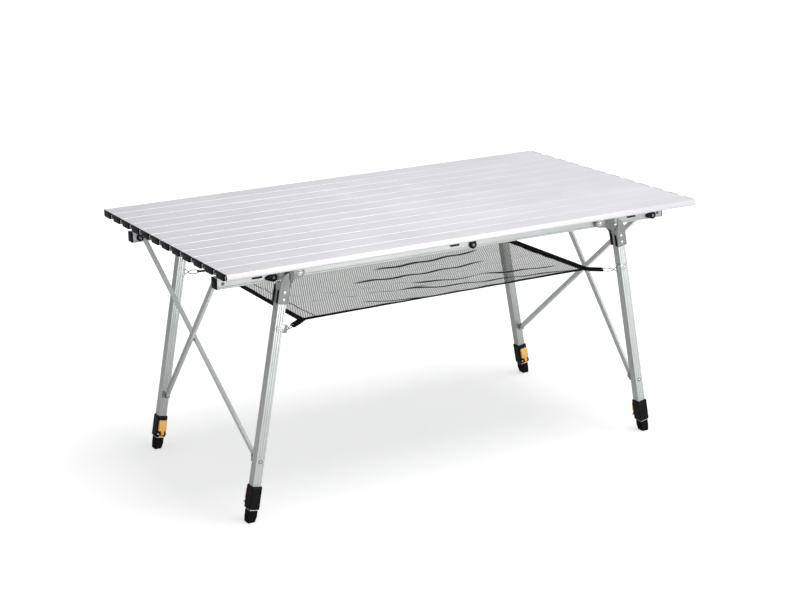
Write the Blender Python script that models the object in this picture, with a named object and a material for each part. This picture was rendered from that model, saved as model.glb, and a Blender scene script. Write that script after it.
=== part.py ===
"""Folding camp table with a roll-up slatted top, an umbrella-folding frame, telescopic legs and a net shelf.

Metres, +Z up. The origin is on the floor under the middle of the top. +X runs along the slats and
-Y is the front. One corner, the front right one, is described in full; the other three mirror it.
"""

import math

import bmesh
import bpy
from mathutils import Matrix, Vector
from mathutils.geometry import intersect_line_line_2d

# Clearances
TOUCH = 0.0003  # between pieces that rest on or run in each other
BITE = 0.001  # how far shapes that are joined into one piece reach into each other

# Top
TOP_LENGTH = 1.200
TOP_HEIGHT = 0.580
SLAT_COUNT = 12
SLAT_PITCH = 0.056
SLAT_THICKNESS = 0.0135
SLAT_WALL = 0.0008
SLAT_CHAMFER = 0.003

# Side rails
RAIL_LENGTH = 1.158
RAIL_OUTER_Y = 0.240  # from the middle of the table to a rail's outer face
RAIL_WIDTH = 0.025
RAIL_HEIGHT = 0.024
RAIL_WALL = 0.0015
RAIL_CHAMFER = 0.0015

# Cross bars between the rails and the slats
BAR_COUNT = 3
BAR_SPACING = 0.486
BAR_WIDTH = 0.022
BAR_HEIGHT = 0.0194
BAR_WALL = 0.0012
BAR_SADDLE_LENGTH = 0.030
BAR_HOOK_THICKNESS = 0.0027
BAR_HOOK_DROP = 0.013

# Legs: outer tubes
LEG_LEAN = math.radians(10.5)
LEG_PIVOT_X = 0.390
LEG_AXIS_OFFSET = 0.0403  # from the pivot to the tube's middle line
LEG_WIDTH = 0.0205
LEG_DEPTH = 0.022
LEG_WALL = 0.0012
LEG_CHAMFER = 0.002
LEG_TOP = 0.021  # distances along the leg are measured down from the pivot
LEG_END = 0.512
LEG_STANDOFF = 0.002  # between the tube and each cheek of its bracket

# Leg brackets
BRACKET_PLATE = 0.002
BRACKET_WIDTH = 0.025
BRACKET_END_RADIUS = 0.0115
BRACKET_ARM_DEPTH = 0.010
BRACKET_ARM_LENGTH = 0.024
BRACKET_CRANK_START = 0.014  # outboard of the pivot
BRACKET_CRANK_RUN = 0.022
BRACKET_SHOULDER = 0.030
BRACKET_ARMPIT = 0.040
BRACKET_BOTTOM = 0.0655
BRACKET_FLANGE_TOP = 0.036
BRACKET_FLANGE_DEPTH = 0.0075
BRACKET_NOTCH_START = 0.030  # outboard of the pivot
BRACKET_NOTCH_DEPTH = 0.018  # below the pivot
RIVET_PLACES = (0.040, 0.056)
RIVET_BOSS_RADIUS = 0.004

# Clips that the net hooks into, on the legs
CLIP_PLACE = 0.118
CLIP_HEIGHT = 0.013
CLIP_WIDTH = 0.015
CLIP_THICKNESS = 0.0012

# Clamps
SLEEVE_WIDTH = 0.025
SLEEVE_DEPTH = 0.027
SLEEVE_CHAMFER = 0.0025
SLEEVE_TOP = 0.468
SLEEVE_END = 0.5205
PIN_PLACE = 0.5105
PIN_STANDOFF = 0.0045
PIN_RADIUS = 0.0015
PIN_REACH = 0.0115  # half of the pin's length
EAR_RADIUS = 0.0048
EAR_THICKNESS = 0.0035
LEVER_WIDTH = 0.019
LEVER_TOP = 0.4775
LEVER_SHOULDER = 0.504
LEVER_THICKNESS = 0.0065
TONGUE_WIDTH = 0.008
BARREL_RADIUS = 0.0033
PAD_PLACE = 0.5162
PAD_WIDTH = 0.0115
PAD_THICKNESS = 0.0025

# Inner legs and feet
INNER_WALL = 0.0012
INNER_CHAMFER = 0.0015
INNER_TOP = 0.330
INNER_END = 0.5345
FOOT_WIDTH = 0.021
FOOT_DEPTH = 0.023
FOOT_TOP = 0.5228
FOOT_CHAMFER = 0.003
FOOT_STRAIGHT = 0.014
FOOT_PATCH_WIDTH = 0.014
FOOT_PATCH_DEPTH = 0.016

# Cross braces and their swivels
BRACE_TOP_X = 0.560
BRACE_FOOT_PLACE = 0.4125  # along the leg
BRACE_WIDTH = 0.012
BRACE_PLATE = 0.0018
BRACE_FLANGE = 0.0055
BRACE_FLANGE_SETBACK = 0.012
SWIVEL_RADIUS = 0.009
SWIVEL_DISC = 0.003
SWIVEL_REACH = 0.010  # from the swivel's mounting face to its pin
SWIVEL_EAR = 0.003
SWIVEL_EAR_WIDTH = 0.012
SWIVEL_PIN_RADIUS = 0.0025
SWIVEL_HEAD_RADIUS = 0.004
SWIVEL_HEAD = 0.001
OPEN_PIVOT_GAP = 0.0066  # between a lower swivel and its leg: the four lower pivots are left open
SPACER_RADIUS = 0.006

# Turn latches
LATCH_PLACES = (-0.449, 0.0465, 0.547)
LATCH_RADIUS = 0.0088
LATCH_NOSE_RADIUS = 0.004
LATCH_REACH = 0.0145
LATCH_THICKNESS = 0.007
LATCH_DROP = 0.0035  # its middle lies this far below the rail's middle

# Net shelf
NET_LENGTH = 0.750
NET_DEPTH = 0.474
NET_LIFT = 0.425  # height of its edge
NET_SAG = 0.020
NET_THICKNESS = 0.0016
NET_FOLDS = (0.094, 0.022, -0.062, -0.120)  # where its lengthwise folds lie
NET_FOLD_DEPTH = 0.004
NET_FOLD_WIDTH = 0.012
NET_EDGE_CURVE = 0.006
NET_STEPS = 22
TAB_LENGTH = 0.040
TAB_WIDTH = 0.014
TAB_THICKNESS = 0.0024
HOOK_THICKNESS = 0.0030

ROUND_SIDES = 16
SMOOTH_ANGLE = math.radians(35)

# Places that follow from the sizes
SLAT_UNDERSIDE = TOP_HEIGHT - SLAT_THICKNESS
BAR_TOP = SLAT_UNDERSIDE - TOUCH
RAIL_TOP = BAR_TOP - BAR_HEIGHT - TOUCH
RAIL_MIDDLE = RAIL_TOP - RAIL_HEIGHT / 2
RAIL_INNER_Y = RAIL_OUTER_Y - RAIL_WIDTH
BRACKET_BACK_Y = RAIL_OUTER_Y + TOUCH
LEG_BACK_Y = BRACKET_BACK_Y + BRACKET_PLATE + LEG_STANDOFF
LEG_Y = LEG_BACK_Y + LEG_DEPTH / 2
LEG_FRONT_Y = LEG_BACK_Y + LEG_DEPTH
BRACKET_FRONT_Y = LEG_FRONT_Y + LEG_STANDOFF + BRACKET_PLATE

UP = Vector((0, 0, 1))
ACROSS = Vector((0, 1, 0))
LEG_DOWN = Vector((math.sin(LEG_LEAN), 0, -math.cos(LEG_LEAN)))
LEG_OUT = Vector((math.cos(LEG_LEAN), 0, math.sin(LEG_LEAN)))
LEG_PIVOT = Vector((LEG_PIVOT_X, -LEG_Y, RAIL_MIDDLE))
LEG_ORIGIN = LEG_PIVOT + LEG_OUT * LEG_AXIS_OFFSET

CORNERS = {"front_right": (1, 1), "front_left": (-1, 1), "back_right": (1, -1), "back_left": (-1, -1)}


def clear_scene():
    """Remove whatever the scene holds."""
    for obj in list(bpy.data.objects):
        bpy.data.objects.remove(obj)


def material(name, colour, roughness, metallic=0.0):
    """A plain Principled material."""
    made = bpy.data.materials.new(name)
    made.use_nodes = True
    shader = made.node_tree.nodes["Principled BSDF"]
    shader.inputs["Base Color"].default_value = (*colour, 1.0)
    shader.inputs["Roughness"].default_value = roughness
    shader.inputs["Metallic"].default_value = metallic
    made.diffuse_color = (*colour, 1.0)
    return made


def make_materials():
    """The table's finishes."""
    return {
        "slat": material("satin_aluminium", (0.78, 0.77, 0.80), 0.35, 0.6),
        "frame": material("anodised_aluminium", (0.62, 0.65, 0.63), 0.4, 0.7),
        "bracket": material("grey_pressed_steel", (0.30, 0.32, 0.31), 0.45, 0.3),
        "black": material("black_nylon", (0.012, 0.011, 0.014), 0.5),
        "lever": material("orange_nylon", (0.92, 0.47, 0.08), 0.4),
        "rubber": material("black_rubber", (0.010, 0.010, 0.012), 0.8),
        "net": material("grey_net", (0.34, 0.37, 0.34), 0.8),
    }


def mesh_of(name, points, faces):
    """A mesh whose faces are turned outwards."""
    mesh = bpy.data.meshes.new(name)
    mesh.from_pydata([tuple(point) for point in points], [], faces)
    shape = bmesh.new()
    shape.from_mesh(mesh)
    bmesh.ops.recalc_face_normals(shape, faces=shape.faces)
    shape.to_mesh(mesh)
    shape.free()
    return mesh


def prism(outline, start, end, side, height):
    """A closed prism. The outline's two numbers count along side and height, and it runs from start to end."""
    count = len(outline)
    points = []
    for centre in (start, end):
        points += [centre + side * u + height * v for u, v in outline]
    faces = [tuple(range(count)), tuple(range(2 * count - 1, count - 1, -1))]
    for i in range(count):
        j = (i + 1) % count
        faces.append((i, j, count + j, count + i))
    return mesh_of("prism", points, faces)


def hollow_prism(outer, inner, start, end, side, height):
    """A tube with open ends. Both outlines have as many points as each other."""
    count = len(outer)
    points = []
    for centre in (start, end):
        for outline in (outer, inner):
            points += [centre + side * u + height * v for u, v in outline]
    faces = []
    for i in range(count):
        j = (i + 1) % count
        faces.append((i, j, 2 * count + j, 2 * count + i))
        faces.append((count + i, 3 * count + i, 3 * count + j, count + j))
        faces.append((i, count + i, count + j, j))
        faces.append((2 * count + i, 2 * count + j, 3 * count + j, 3 * count + i))
    return mesh_of("tube", points, faces)


def rectangle(width, height, chamfer=0.0, middle=(0.0, 0.0)):
    """A rectangle's outline about its middle, with its corners cut off."""
    w, h, c = width / 2, height / 2, chamfer
    if c:
        points = [(w, -h + c), (w, h - c), (w - c, h), (-w + c, h)]
        points += [(-w, h - c), (-w, -h + c), (-w + c, -h), (w - c, -h)]
    else:
        points = [(w, -h), (w, h), (-w, h), (-w, -h)]
    return [(middle[0] + u, middle[1] + v) for u, v in points]


def arc(centre, radius, first, last, steps):
    """Points along an arc, in degrees."""
    found = []
    for i in range(steps + 1):
        angle = math.radians(first + (last - first) * i / steps)
        found.append((centre[0] + radius * math.cos(angle), centre[1] + radius * math.sin(angle)))
    return found


def circle(radius, sides=ROUND_SIDES):
    """A circle's outline."""
    return arc((0.0, 0.0), radius, 0, 360 - 360 / sides, sides - 1)


def bend(start, corner, end, steps):
    """Points of a soft corner: a quadratic curve from start to end that aims at the corner."""
    found = []
    for i in range(steps + 1):
        t = i / steps
        weights = ((1 - t) ** 2, 2 * t * (1 - t), t**2)
        found.append(tuple(sum(w * p[k] for w, p in zip(weights, (start, corner, end))) for k in (0, 1)))
    return found


def combine(base, added=(), cut=()):
    """The base mesh with the added meshes joined to it and the cut ones taken out."""
    helpers = []
    body = bpy.data.objects.new("body", base)
    bpy.context.collection.objects.link(body)
    for operation, meshes in (("UNION", added), ("DIFFERENCE", cut)):
        for mesh in meshes:
            other = bpy.data.objects.new("cutter", mesh)
            bpy.context.collection.objects.link(other)
            helpers.append(other)
            modifier = body.modifiers.new(operation.lower(), "BOOLEAN")
            modifier.operation = operation
            modifier.solver = "EXACT"
            modifier.object = other
    bpy.context.view_layer.update()
    graph = bpy.context.evaluated_depsgraph_get()
    result = bpy.data.meshes.new_from_object(body.evaluated_get(graph))
    for helper in (*helpers, body):
        bpy.data.objects.remove(helper)
    return result


def mirrored(mesh, side_x, side_y):
    """A copy of a mesh turned into another corner of the table."""
    copy = mesh.copy()
    copy.transform(Matrix.Diagonal((side_x, side_y, 1, 1)))
    if side_x * side_y < 0:
        copy.flip_normals()
    return copy


def at_corner(point, side_x, side_y):
    """A point of the front right corner, mirrored into another corner."""
    return Vector((point.x * side_x, point.y * side_y, point.z))


def add_piece(name, mesh, finish, pivot=None, smooth=False):
    """Make the object of a mesh given in world places. Its origin goes to its pivot."""
    if pivot is not None:
        mesh.transform(Matrix.Translation(-pivot))
    mesh.name = name
    mesh.materials.clear()
    mesh.materials.append(finish)
    if smooth:
        mesh.shade_smooth()
        mesh.set_sharp_from_angle(angle=SMOOTH_ANGLE)
    piece = bpy.data.objects.new(name, mesh)
    if pivot is not None:
        piece.location = pivot
    bpy.context.collection.objects.link(piece)
    return piece


def leg_point(along, out=0.0, y=-LEG_Y):
    """A point of the front right leg: so far down from its pivot and so far outboard of its middle line."""
    point = LEG_ORIGIN + LEG_DOWN * along + LEG_OUT * out
    return Vector((point.x, y, point.z))


def leg_flat(along, out):
    """The same point as a pair of X and Z."""
    point = leg_point(along, out)
    return point.x, point.z


def leg_prism(outline, first, last):
    """A prism along the leg. The outline counts outboard and towards the middle of the table."""
    return prism(outline, leg_point(first), leg_point(last), LEG_OUT, ACROSS)


def make_slats(finish):
    """Twelve hollow slats. Each turns up about the top line that it shares with the one behind it."""
    width = SLAT_PITCH - TOUCH
    outer = rectangle(width, SLAT_THICKNESS, SLAT_CHAMFER)
    inner = rectangle(width - 2 * SLAT_WALL, SLAT_THICKNESS - 2 * SLAT_WALL, SLAT_CHAMFER - SLAT_WALL / 2)
    back = SLAT_COUNT * SLAT_PITCH / 2
    for i in range(SLAT_COUNT):
        seam = back - i * SLAT_PITCH
        middle = Vector((0, seam - SLAT_PITCH / 2, TOP_HEIGHT - SLAT_THICKNESS / 2))
        reach = Vector((TOP_LENGTH / 2, 0, 0))
        mesh = hollow_prism(outer, inner, middle - reach, middle + reach, ACROSS, UP)
        add_piece(f"slat_{i + 1:02d}", mesh, finish, Vector((0, seam, TOP_HEIGHT)))


def make_rails(finish):
    """The front and back rails, hollow and open at the ends."""
    outer = rectangle(RAIL_WIDTH, RAIL_HEIGHT, RAIL_CHAMFER)
    inner = rectangle(RAIL_WIDTH - 2 * RAIL_WALL, RAIL_HEIGHT - 2 * RAIL_WALL, RAIL_CHAMFER / 2)
    for name, side in (("front_rail", -1), ("back_rail", 1)):
        middle = Vector((0, side * (RAIL_OUTER_Y - RAIL_WIDTH / 2), RAIL_MIDDLE))
        reach = Vector((RAIL_LENGTH / 2, 0, 0))
        mesh = hollow_prism(outer, inner, middle - reach, middle + reach, ACROSS, UP)
        add_piece(name, mesh, finish, middle)


def make_cross_bars(finish):
    """Bars that carry the slats: channels, open below, whose end saddles sit on the rails and hook over them."""
    half, height = BAR_WIDTH / 2, BAR_HEIGHT
    channel = [(-half, 0), (-half, height), (half, height), (half, 0)]
    channel += [(half - BAR_WALL, 0), (half - BAR_WALL, height - BAR_WALL)]
    channel += [(-half + BAR_WALL, height - BAR_WALL), (-half + BAR_WALL, 0)]
    hook_in = RAIL_OUTER_Y + TOUCH
    hook_out = hook_in + BAR_HOOK_THICKNESS
    saddle_in = hook_out - BAR_SADDLE_LENGTH
    saddle = [(saddle_in, 0), (hook_in, 0), (hook_in, -BAR_HOOK_DROP), (hook_out, -BAR_HOOK_DROP)]
    saddle += [(hook_out, height - BITE), (saddle_in, height - BITE)]
    for i in range(BAR_COUNT):
        x = (i - (BAR_COUNT - 1) / 2) * BAR_SPACING
        foot = Vector((x, 0, BAR_TOP - BAR_HEIGHT))
        reach = ACROSS * (hook_out - BITE)
        base = prism(channel, foot - reach, foot + reach, Vector((1, 0, 0)), UP)
        inset = Vector((half - BAR_WALL / 2, 0, 0))
        ends = [prism(saddle, foot - inset, foot + inset, ACROSS * side, UP) for side in (-1, 1)]
        add_piece(f"cross_bar_{i + 1}", combine(base, ends), finish, foot)


def bracket_outline():
    """The bracket seen from the front: an arm round the pivot that bends down over the top of the leg."""
    pivot = (LEG_PIVOT.x, LEG_PIVOT.z)
    radius, half = BRACKET_END_RADIUS, BRACKET_WIDTH / 2
    top_end = (pivot[0] + BRACKET_ARM_LENGTH, pivot[1] + radius)
    shoulder = leg_flat(BRACKET_SHOULDER, half)
    armpit = leg_flat(BRACKET_ARMPIT, -half)
    lower_end = (pivot[0] + radius / 4, pivot[1] - radius)
    outer_corner = line_crossing((pivot[0], top_end[1]), top_end, shoulder, leg_flat(BRACKET_BOTTOM, half))
    inner_corner = line_crossing((pivot[0], lower_end[1]), lower_end, armpit, leg_flat(BRACKET_BOTTOM, -half))
    outline = arc(pivot, radius, 90, 270, 8)
    outline += bend(lower_end, inner_corner, armpit, 4)
    outline += [leg_flat(BRACKET_BOTTOM, -half), leg_flat(BRACKET_BOTTOM, half)]
    outline += bend(shoulder, outer_corner, top_end, 6)
    return outline


def line_crossing(a, b, c, d):
    """Where the endless line through a and b meets the one through c and d."""
    far = 1.0
    ab, cd = Vector(b) - Vector(a), Vector(d) - Vector(c)
    ends = [Vector(p) + sign * far * step.normalized() for p, step in ((a, ab), (c, cd)) for sign in (-1, 1)]
    return tuple(intersect_line_line_2d(*ends))


def crank_cutter(shift):
    """What lies in front of the bracket's cranked front, moved back by shift."""
    arm_front = -(BRACKET_BACK_Y + BRACKET_ARM_DEPTH) + shift
    leg_front = -BRACKET_FRONT_Y + shift
    start = LEG_PIVOT.x + BRACKET_CRANK_START
    inboard, outboard = LEG_PIVOT.x - 0.05, LEG_PIVOT.x + 0.15
    ahead = leg_front - 0.03
    outline = [(inboard, arm_front), (start, arm_front), (start + BRACKET_CRANK_RUN, leg_front)]
    outline += [(outboard, leg_front), (outboard, ahead), (inboard, ahead)]
    bottom, top = Vector((0, 0, LEG_PIVOT.z - 0.12)), Vector((0, 0, LEG_PIVOT.z + 0.05))
    return prism(outline, bottom, top, Vector((1, 0, 0)), ACROSS)


def bracket_cavity():
    """The room for the leg between the bracket's cheeks: shut above and at the pivot's end, open elsewhere."""
    pivot, wall = LEG_PIVOT, BRACKET_PLATE
    left, right = pivot.x + BRACKET_CRANK_START, pivot.x + 0.15
    top, bottom = pivot.z + BRACKET_END_RADIUS - wall, pivot.z - 0.12
    outline = [(left, bottom), (left, top), (right, top), (right, bottom)]
    back, front = -(BRACKET_BACK_Y + wall) * ACROSS, -(BRACKET_FRONT_Y - wall) * ACROSS
    room = prism(outline, back, front, Vector((1, 0, 0)), UP)
    return combine(room, cut=[crank_cutter(wall)])


def bracket_notch():
    """What is cut from the bracket behind its front cheek, so that it clears the turn latch beside it."""
    left, right = LEG_PIVOT.x + BRACKET_NOTCH_START, LEG_PIVOT.x + 0.15
    bottom, top = LEG_PIVOT.z - BRACKET_NOTCH_DEPTH, LEG_PIVOT.z + 0.05
    outline = [(left, bottom), (left, top), (right, top), (right, bottom)]
    back, front = -(BRACKET_BACK_Y - BITE) * ACROSS, -(BRACKET_FRONT_Y - BRACKET_PLATE) * ACROSS
    return prism(outline, back, front, Vector((1, 0, 0)), UP)


def make_brackets(finish):
    """Pressed brackets: each turns on a bolt through the rail's outer side and holds the leg between its cheeks.

    The cheeks are riveted to the leg and have flanges that turn in beside it.
    """
    back, front = -BRACKET_BACK_Y * ACROSS, -BRACKET_FRONT_Y * ACROSS
    block = prism(bracket_outline(), back, front, Vector((1, 0, 0)), UP)
    shell = combine(block, cut=[crank_cutter(0.0), bracket_cavity(), bracket_notch()])
    bosses = []
    for cheek, turn, face in ((BRACKET_BACK_Y, 1, LEG_BACK_Y), (BRACKET_FRONT_Y, -1, LEG_FRONT_Y)):
        for place in RIVET_PLACES:
            start = leg_point(place, 0, -(cheek + turn * BITE))
            end = leg_point(place, 0, -(face - turn * TOUCH))
            bosses.append(prism(circle(RIVET_BOSS_RADIUS, 8), start, end, LEG_OUT, LEG_DOWN))
        depth = BRACKET_FLANGE_DEPTH - BITE / 2
        middle = LEG_Y - cheek - turn * (BITE + BRACKET_FLANGE_DEPTH) / 2
        thickness = (BRACKET_WIDTH - LEG_WIDTH) / 2 - 2 * TOUCH
        for side in (-1, 1):
            offset = side * (LEG_WIDTH / 2 + TOUCH + thickness / 2)
            flange = rectangle(thickness, depth, 0.0, (offset, middle))
            bosses.append(leg_prism(flange, BRACKET_FLANGE_TOP, BRACKET_BOTTOM - TOUCH))
    bracket = combine(shell, bosses)
    for corner, sides in CORNERS.items():
        add_piece(f"bracket_{corner}", mirrored(bracket, *sides), finish, at_corner(LEG_PIVOT, *sides))


def make_legs(finish):
    """Outer leg tubes, each with the clip that the net hooks into."""
    outer = rectangle(LEG_WIDTH, LEG_DEPTH, LEG_CHAMFER)
    inner = rectangle(LEG_WIDTH - 2 * LEG_WALL, LEG_DEPTH - 2 * LEG_WALL, LEG_CHAMFER / 2)
    tube = hollow_prism(outer, inner, leg_point(LEG_TOP), leg_point(LEG_END), LEG_OUT, ACROSS)
    out, front = -LEG_WIDTH / 2 - CLIP_THICKNESS, -LEG_DEPTH / 2 - CLIP_THICKNESS
    bite = LEG_WALL / 2
    clip = [(out, front), (out + CLIP_WIDTH, front), (out + CLIP_WIDTH, -LEG_DEPTH / 2 + bite)]
    clip += [(-LEG_WIDTH / 2 + bite, -LEG_DEPTH / 2 + bite), (-LEG_WIDTH / 2 + bite, LEG_DEPTH / 4)]
    clip += [(out, LEG_DEPTH / 4)]
    half = CLIP_HEIGHT / 2
    leg = combine(tube, [leg_prism(clip, CLIP_PLACE - half, CLIP_PLACE + half)])
    for corner, sides in CORNERS.items():
        add_piece(f"leg_{corner}", mirrored(leg, *sides), finish, at_corner(LEG_PIVOT, *sides))


def inner_leg_size():
    """Width and depth of the inner leg, which runs in the outer one."""
    shrink = 2 * (LEG_WALL + TOUCH)
    return LEG_WIDTH - shrink, LEG_DEPTH - shrink


def pin_point(out=0.0):
    """A point on the lever's pin, on the side of the clamp that faces the middle of the table."""
    return leg_point(PIN_PLACE, out, -LEG_Y + SLEEVE_DEPTH / 2 + PIN_STANDOFF)


def make_clamps(sleeve_finish, lever_finish):
    """Clamp sleeves on the legs' lower ends, with ears and a pin, and the cam levers that turn on the pins."""
    width, depth = inner_leg_size()
    block = leg_prism(rectangle(SLEEVE_WIDTH, SLEEVE_DEPTH, SLEEVE_CHAMFER), SLEEVE_TOP, SLEEVE_END)
    room = rectangle(LEG_WIDTH + 2 * TOUCH, LEG_DEPTH + 2 * TOUCH, LEG_CHAMFER)
    throat = rectangle(width + 2 * TOUCH, depth + 2 * TOUCH, INNER_CHAMFER)
    bores = [leg_prism(room, SLEEVE_TOP - BITE, LEG_END + TOUCH)]
    bores.append(leg_prism(throat, LEG_END, SLEEVE_END + BITE))
    ears = []
    inside = TONGUE_WIDTH / 2 + TOUCH
    for side in (-1, 1):
        near, far = pin_point(side * inside), pin_point(side * (inside + EAR_THICKNESS))
        ears.append(prism(ear_outline(), near, far, ACROSS, LEG_DOWN))
    pin = prism(circle(PIN_RADIUS, 8), pin_point(-PIN_REACH), pin_point(PIN_REACH), ACROSS, LEG_DOWN)
    pad_middle = (0.0, (SLEEVE_DEPTH + PAD_THICKNESS - BITE) / 2)
    pad = rectangle(PAD_WIDTH, PAD_THICKNESS + BITE, 0.0, pad_middle)
    sleeve = combine(block, [*ears, leg_prism(pad, PAD_PLACE, SLEEVE_END)], bores)
    sleeve = combine(sleeve, [pin])

    face = SLEEVE_DEPTH / 2 + TOUCH
    paddle = rectangle(LEVER_WIDTH, LEVER_THICKNESS, 0.0015, (0.0, face + LEVER_THICKNESS / 2))
    lever = leg_prism(paddle, LEVER_TOP, LEVER_SHOULDER)
    tongue_depth = PIN_STANDOFF + BARREL_RADIUS - TOUCH - BITE
    tongue = rectangle(TONGUE_WIDTH, tongue_depth, 0.0, (0.0, face + BITE + tongue_depth / 2))
    neck = leg_prism(tongue, LEVER_SHOULDER - 2 * BITE, PIN_PLACE)
    half = TONGUE_WIDTH / 2 - TOUCH / 10
    barrel = prism(circle(BARREL_RADIUS), pin_point(-half), pin_point(half), ACROSS, LEG_DOWN)
    bore = prism(circle(PIN_RADIUS + TOUCH, 8), pin_point(-inside), pin_point(inside), ACROSS, LEG_DOWN)
    lever = combine(lever, [neck, barrel], [bore])
    for corner, sides in CORNERS.items():
        add_piece(f"clamp_{corner}", mirrored(sleeve, *sides), sleeve_finish, at_corner(LEG_PIVOT, *sides))
        pivot = at_corner(pin_point(), *sides)
        add_piece(f"clamp_lever_{corner}", mirrored(lever, *sides), lever_finish, pivot)


def ear_outline():
    """An ear: square where it joins the sleeve and round about its pin."""
    root = -PIN_STANDOFF - BITE
    return [(root, -EAR_RADIUS), *arc((0.0, 0.0), EAR_RADIUS, -90, 90, 6), (root, EAR_RADIUS)]


def make_inner_legs(tube_finish, foot_finish):
    """Inner leg tubes, which slide down out of the legs, and the feet on their ends."""
    width, depth = inner_leg_size()
    outer = rectangle(width, depth, INNER_CHAMFER)
    inner = rectangle(width - 2 * INNER_WALL, depth - 2 * INNER_WALL, INNER_CHAMFER / 2)
    tube = hollow_prism(outer, inner, leg_point(INNER_TOP), leg_point(INNER_END), LEG_OUT, ACROSS)
    foot = foot_mesh(width, depth)
    for corner, sides in CORNERS.items():
        pivot = at_corner(leg_point(INNER_TOP), *sides)
        add_piece(f"inner_leg_{corner}", mirrored(tube, *sides), tube_finish, pivot)
        pivot = at_corner(leg_point(FOOT_TOP), *sides)
        add_piece(f"foot_{corner}", mirrored(foot, *sides), foot_finish, pivot)


def foot_mesh(width, depth):
    """A foot: straight at the top, drawn in below to a flat patch on the floor, with a socket for the tube."""
    ring = rectangle(FOOT_WIDTH, FOOT_DEPTH, FOOT_CHAMFER)
    points = []
    for place in (FOOT_TOP, FOOT_TOP + FOOT_STRAIGHT):
        points += [leg_point(place) + LEG_OUT * u + ACROSS * v for u, v in ring]
    ground = leg_point((LEG_ORIGIN.z) / math.cos(LEG_LEAN))
    for u, v in rectangle(FOOT_PATCH_WIDTH, FOOT_PATCH_DEPTH, FOOT_CHAMFER):
        points.append(Vector((ground.x + u, ground.y + v, 0.0)))
    shape = bmesh.new()
    for point in points:
        shape.verts.new(point)
    bmesh.ops.convex_hull(shape, input=shape.verts)
    block = bpy.data.meshes.new("foot")
    shape.to_mesh(block)
    shape.free()
    socket = rectangle(width + 2 * TOUCH, depth + 2 * TOUCH, INNER_CHAMFER)
    return combine(block, cut=[leg_prism(socket, FOOT_TOP - BITE, INNER_END + TOUCH)])


def brace_ends(side_y):
    """The pin points of the brace that holds the right leg of that side: at the rail opposite and at the leg."""
    top = Vector((BRACE_TOP_X, side_y * (RAIL_INNER_Y - TOUCH - SWIVEL_REACH), RAIL_MIDDLE))
    foot = leg_point(BRACE_FOOT_PLACE, 0.0, -side_y * (LEG_BACK_Y - OPEN_PIVOT_GAP - SWIVEL_REACH))
    return top, foot


def brace_frame(side_y):
    """The brace's direction, the axis of its pins and the direction across it."""
    top, foot = brace_ends(side_y)
    along = (foot - top).normalized()
    fall = Vector((along.x, 0, along.z)).normalized()
    pin = fall.cross(ACROSS).normalized()
    pin = pin if pin.x > 0 else -pin
    return along, pin, along.cross(pin).normalized()


def swivel_mesh(place, face_side, pin, lean):
    """A swivel at a pin point: a disc against its carrier, on the side face_side of Y, an ear and a pin."""
    face = ACROSS * face_side
    along_pin = pin * lean
    fall = pin.cross(ACROSS).normalized()
    back = place + face * SWIVEL_REACH
    disc = prism(circle(SWIVEL_RADIUS), back, back - face * SWIVEL_DISC, Vector((1, 0, 0)), UP)
    half = SWIVEL_EAR_WIDTH / 2
    root = SWIVEL_REACH - SWIVEL_DISC + BITE
    ear_outline = [(root, -half), (root, half), *arc((0.0, 0.0), half, 90, 270, 6)]
    ear_half = pin * SWIVEL_EAR / 2
    ear = prism(ear_outline, place - ear_half, place + ear_half, face, fall)
    web_end = SWIVEL_EAR / 2 + 2 * TOUCH + BRACE_PLATE
    start = place + along_pin * (SWIVEL_EAR / 2 - BITE)
    shank = prism(circle(SWIVEL_PIN_RADIUS, 12), start, place + along_pin * (web_end + BITE / 2), face, fall)
    head_start = place + along_pin * web_end
    head = prism(circle(SWIVEL_HEAD_RADIUS, 12), head_start, head_start + along_pin * SWIVEL_HEAD, face, fall)
    return combine(disc, [ear, shank, head])


def brace_mesh(side_y, lean, with_spacer):
    """A brace: a channel whose web lies beside the swivels' ears and whose flanges point away from them."""
    top, foot = brace_ends(side_y)
    along, pin, across = brace_frame(side_y)
    out = pin * lean
    length = (foot - top).length
    half = BRACE_WIDTH / 2
    web_start = SWIVEL_EAR / 2 + TOUCH
    outline = arc((0.0, 0.0), half, 90, 270, 6) + arc((length, 0.0), half, -90, 90, 6)
    web = prism(outline, top + out * web_start, top + out * (web_start + BRACE_PLATE), along, across)
    added = []
    for side in (-1, 1):
        inner, outer = side * (half - BRACE_PLATE), side * (half - BITE / 10)
        strip = [(BRACE_FLANGE_SETBACK, inner), (BRACE_FLANGE_SETBACK, outer)]
        strip += [(length - BRACE_FLANGE_SETBACK, outer), (length - BRACE_FLANGE_SETBACK, inner)]
        start = top + out * (web_start + BITE)
        added.append(prism(strip, start, start + out * BRACE_FLANGE, along, across))
    if with_spacer:
        crossing = top + (foot - top) * (abs(top.y) / (abs(top.y) + abs(foot.y)))
        start = crossing - out * (web_start - TOUCH)
        end = crossing + out * (web_start + BRACE_PLATE / 2)
        added.append(prism(circle(SPACER_RADIUS, 12), start, end, along, across))
    holes = []
    for place in (top, foot):
        start, end = place + out * (web_start - BITE), place + out * (web_start + BRACE_PLATE + BITE)
        holes.append(prism(circle(SWIVEL_PIN_RADIUS + TOUCH, 12), start, end, along, across))
    return combine(web, added, holes)


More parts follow.
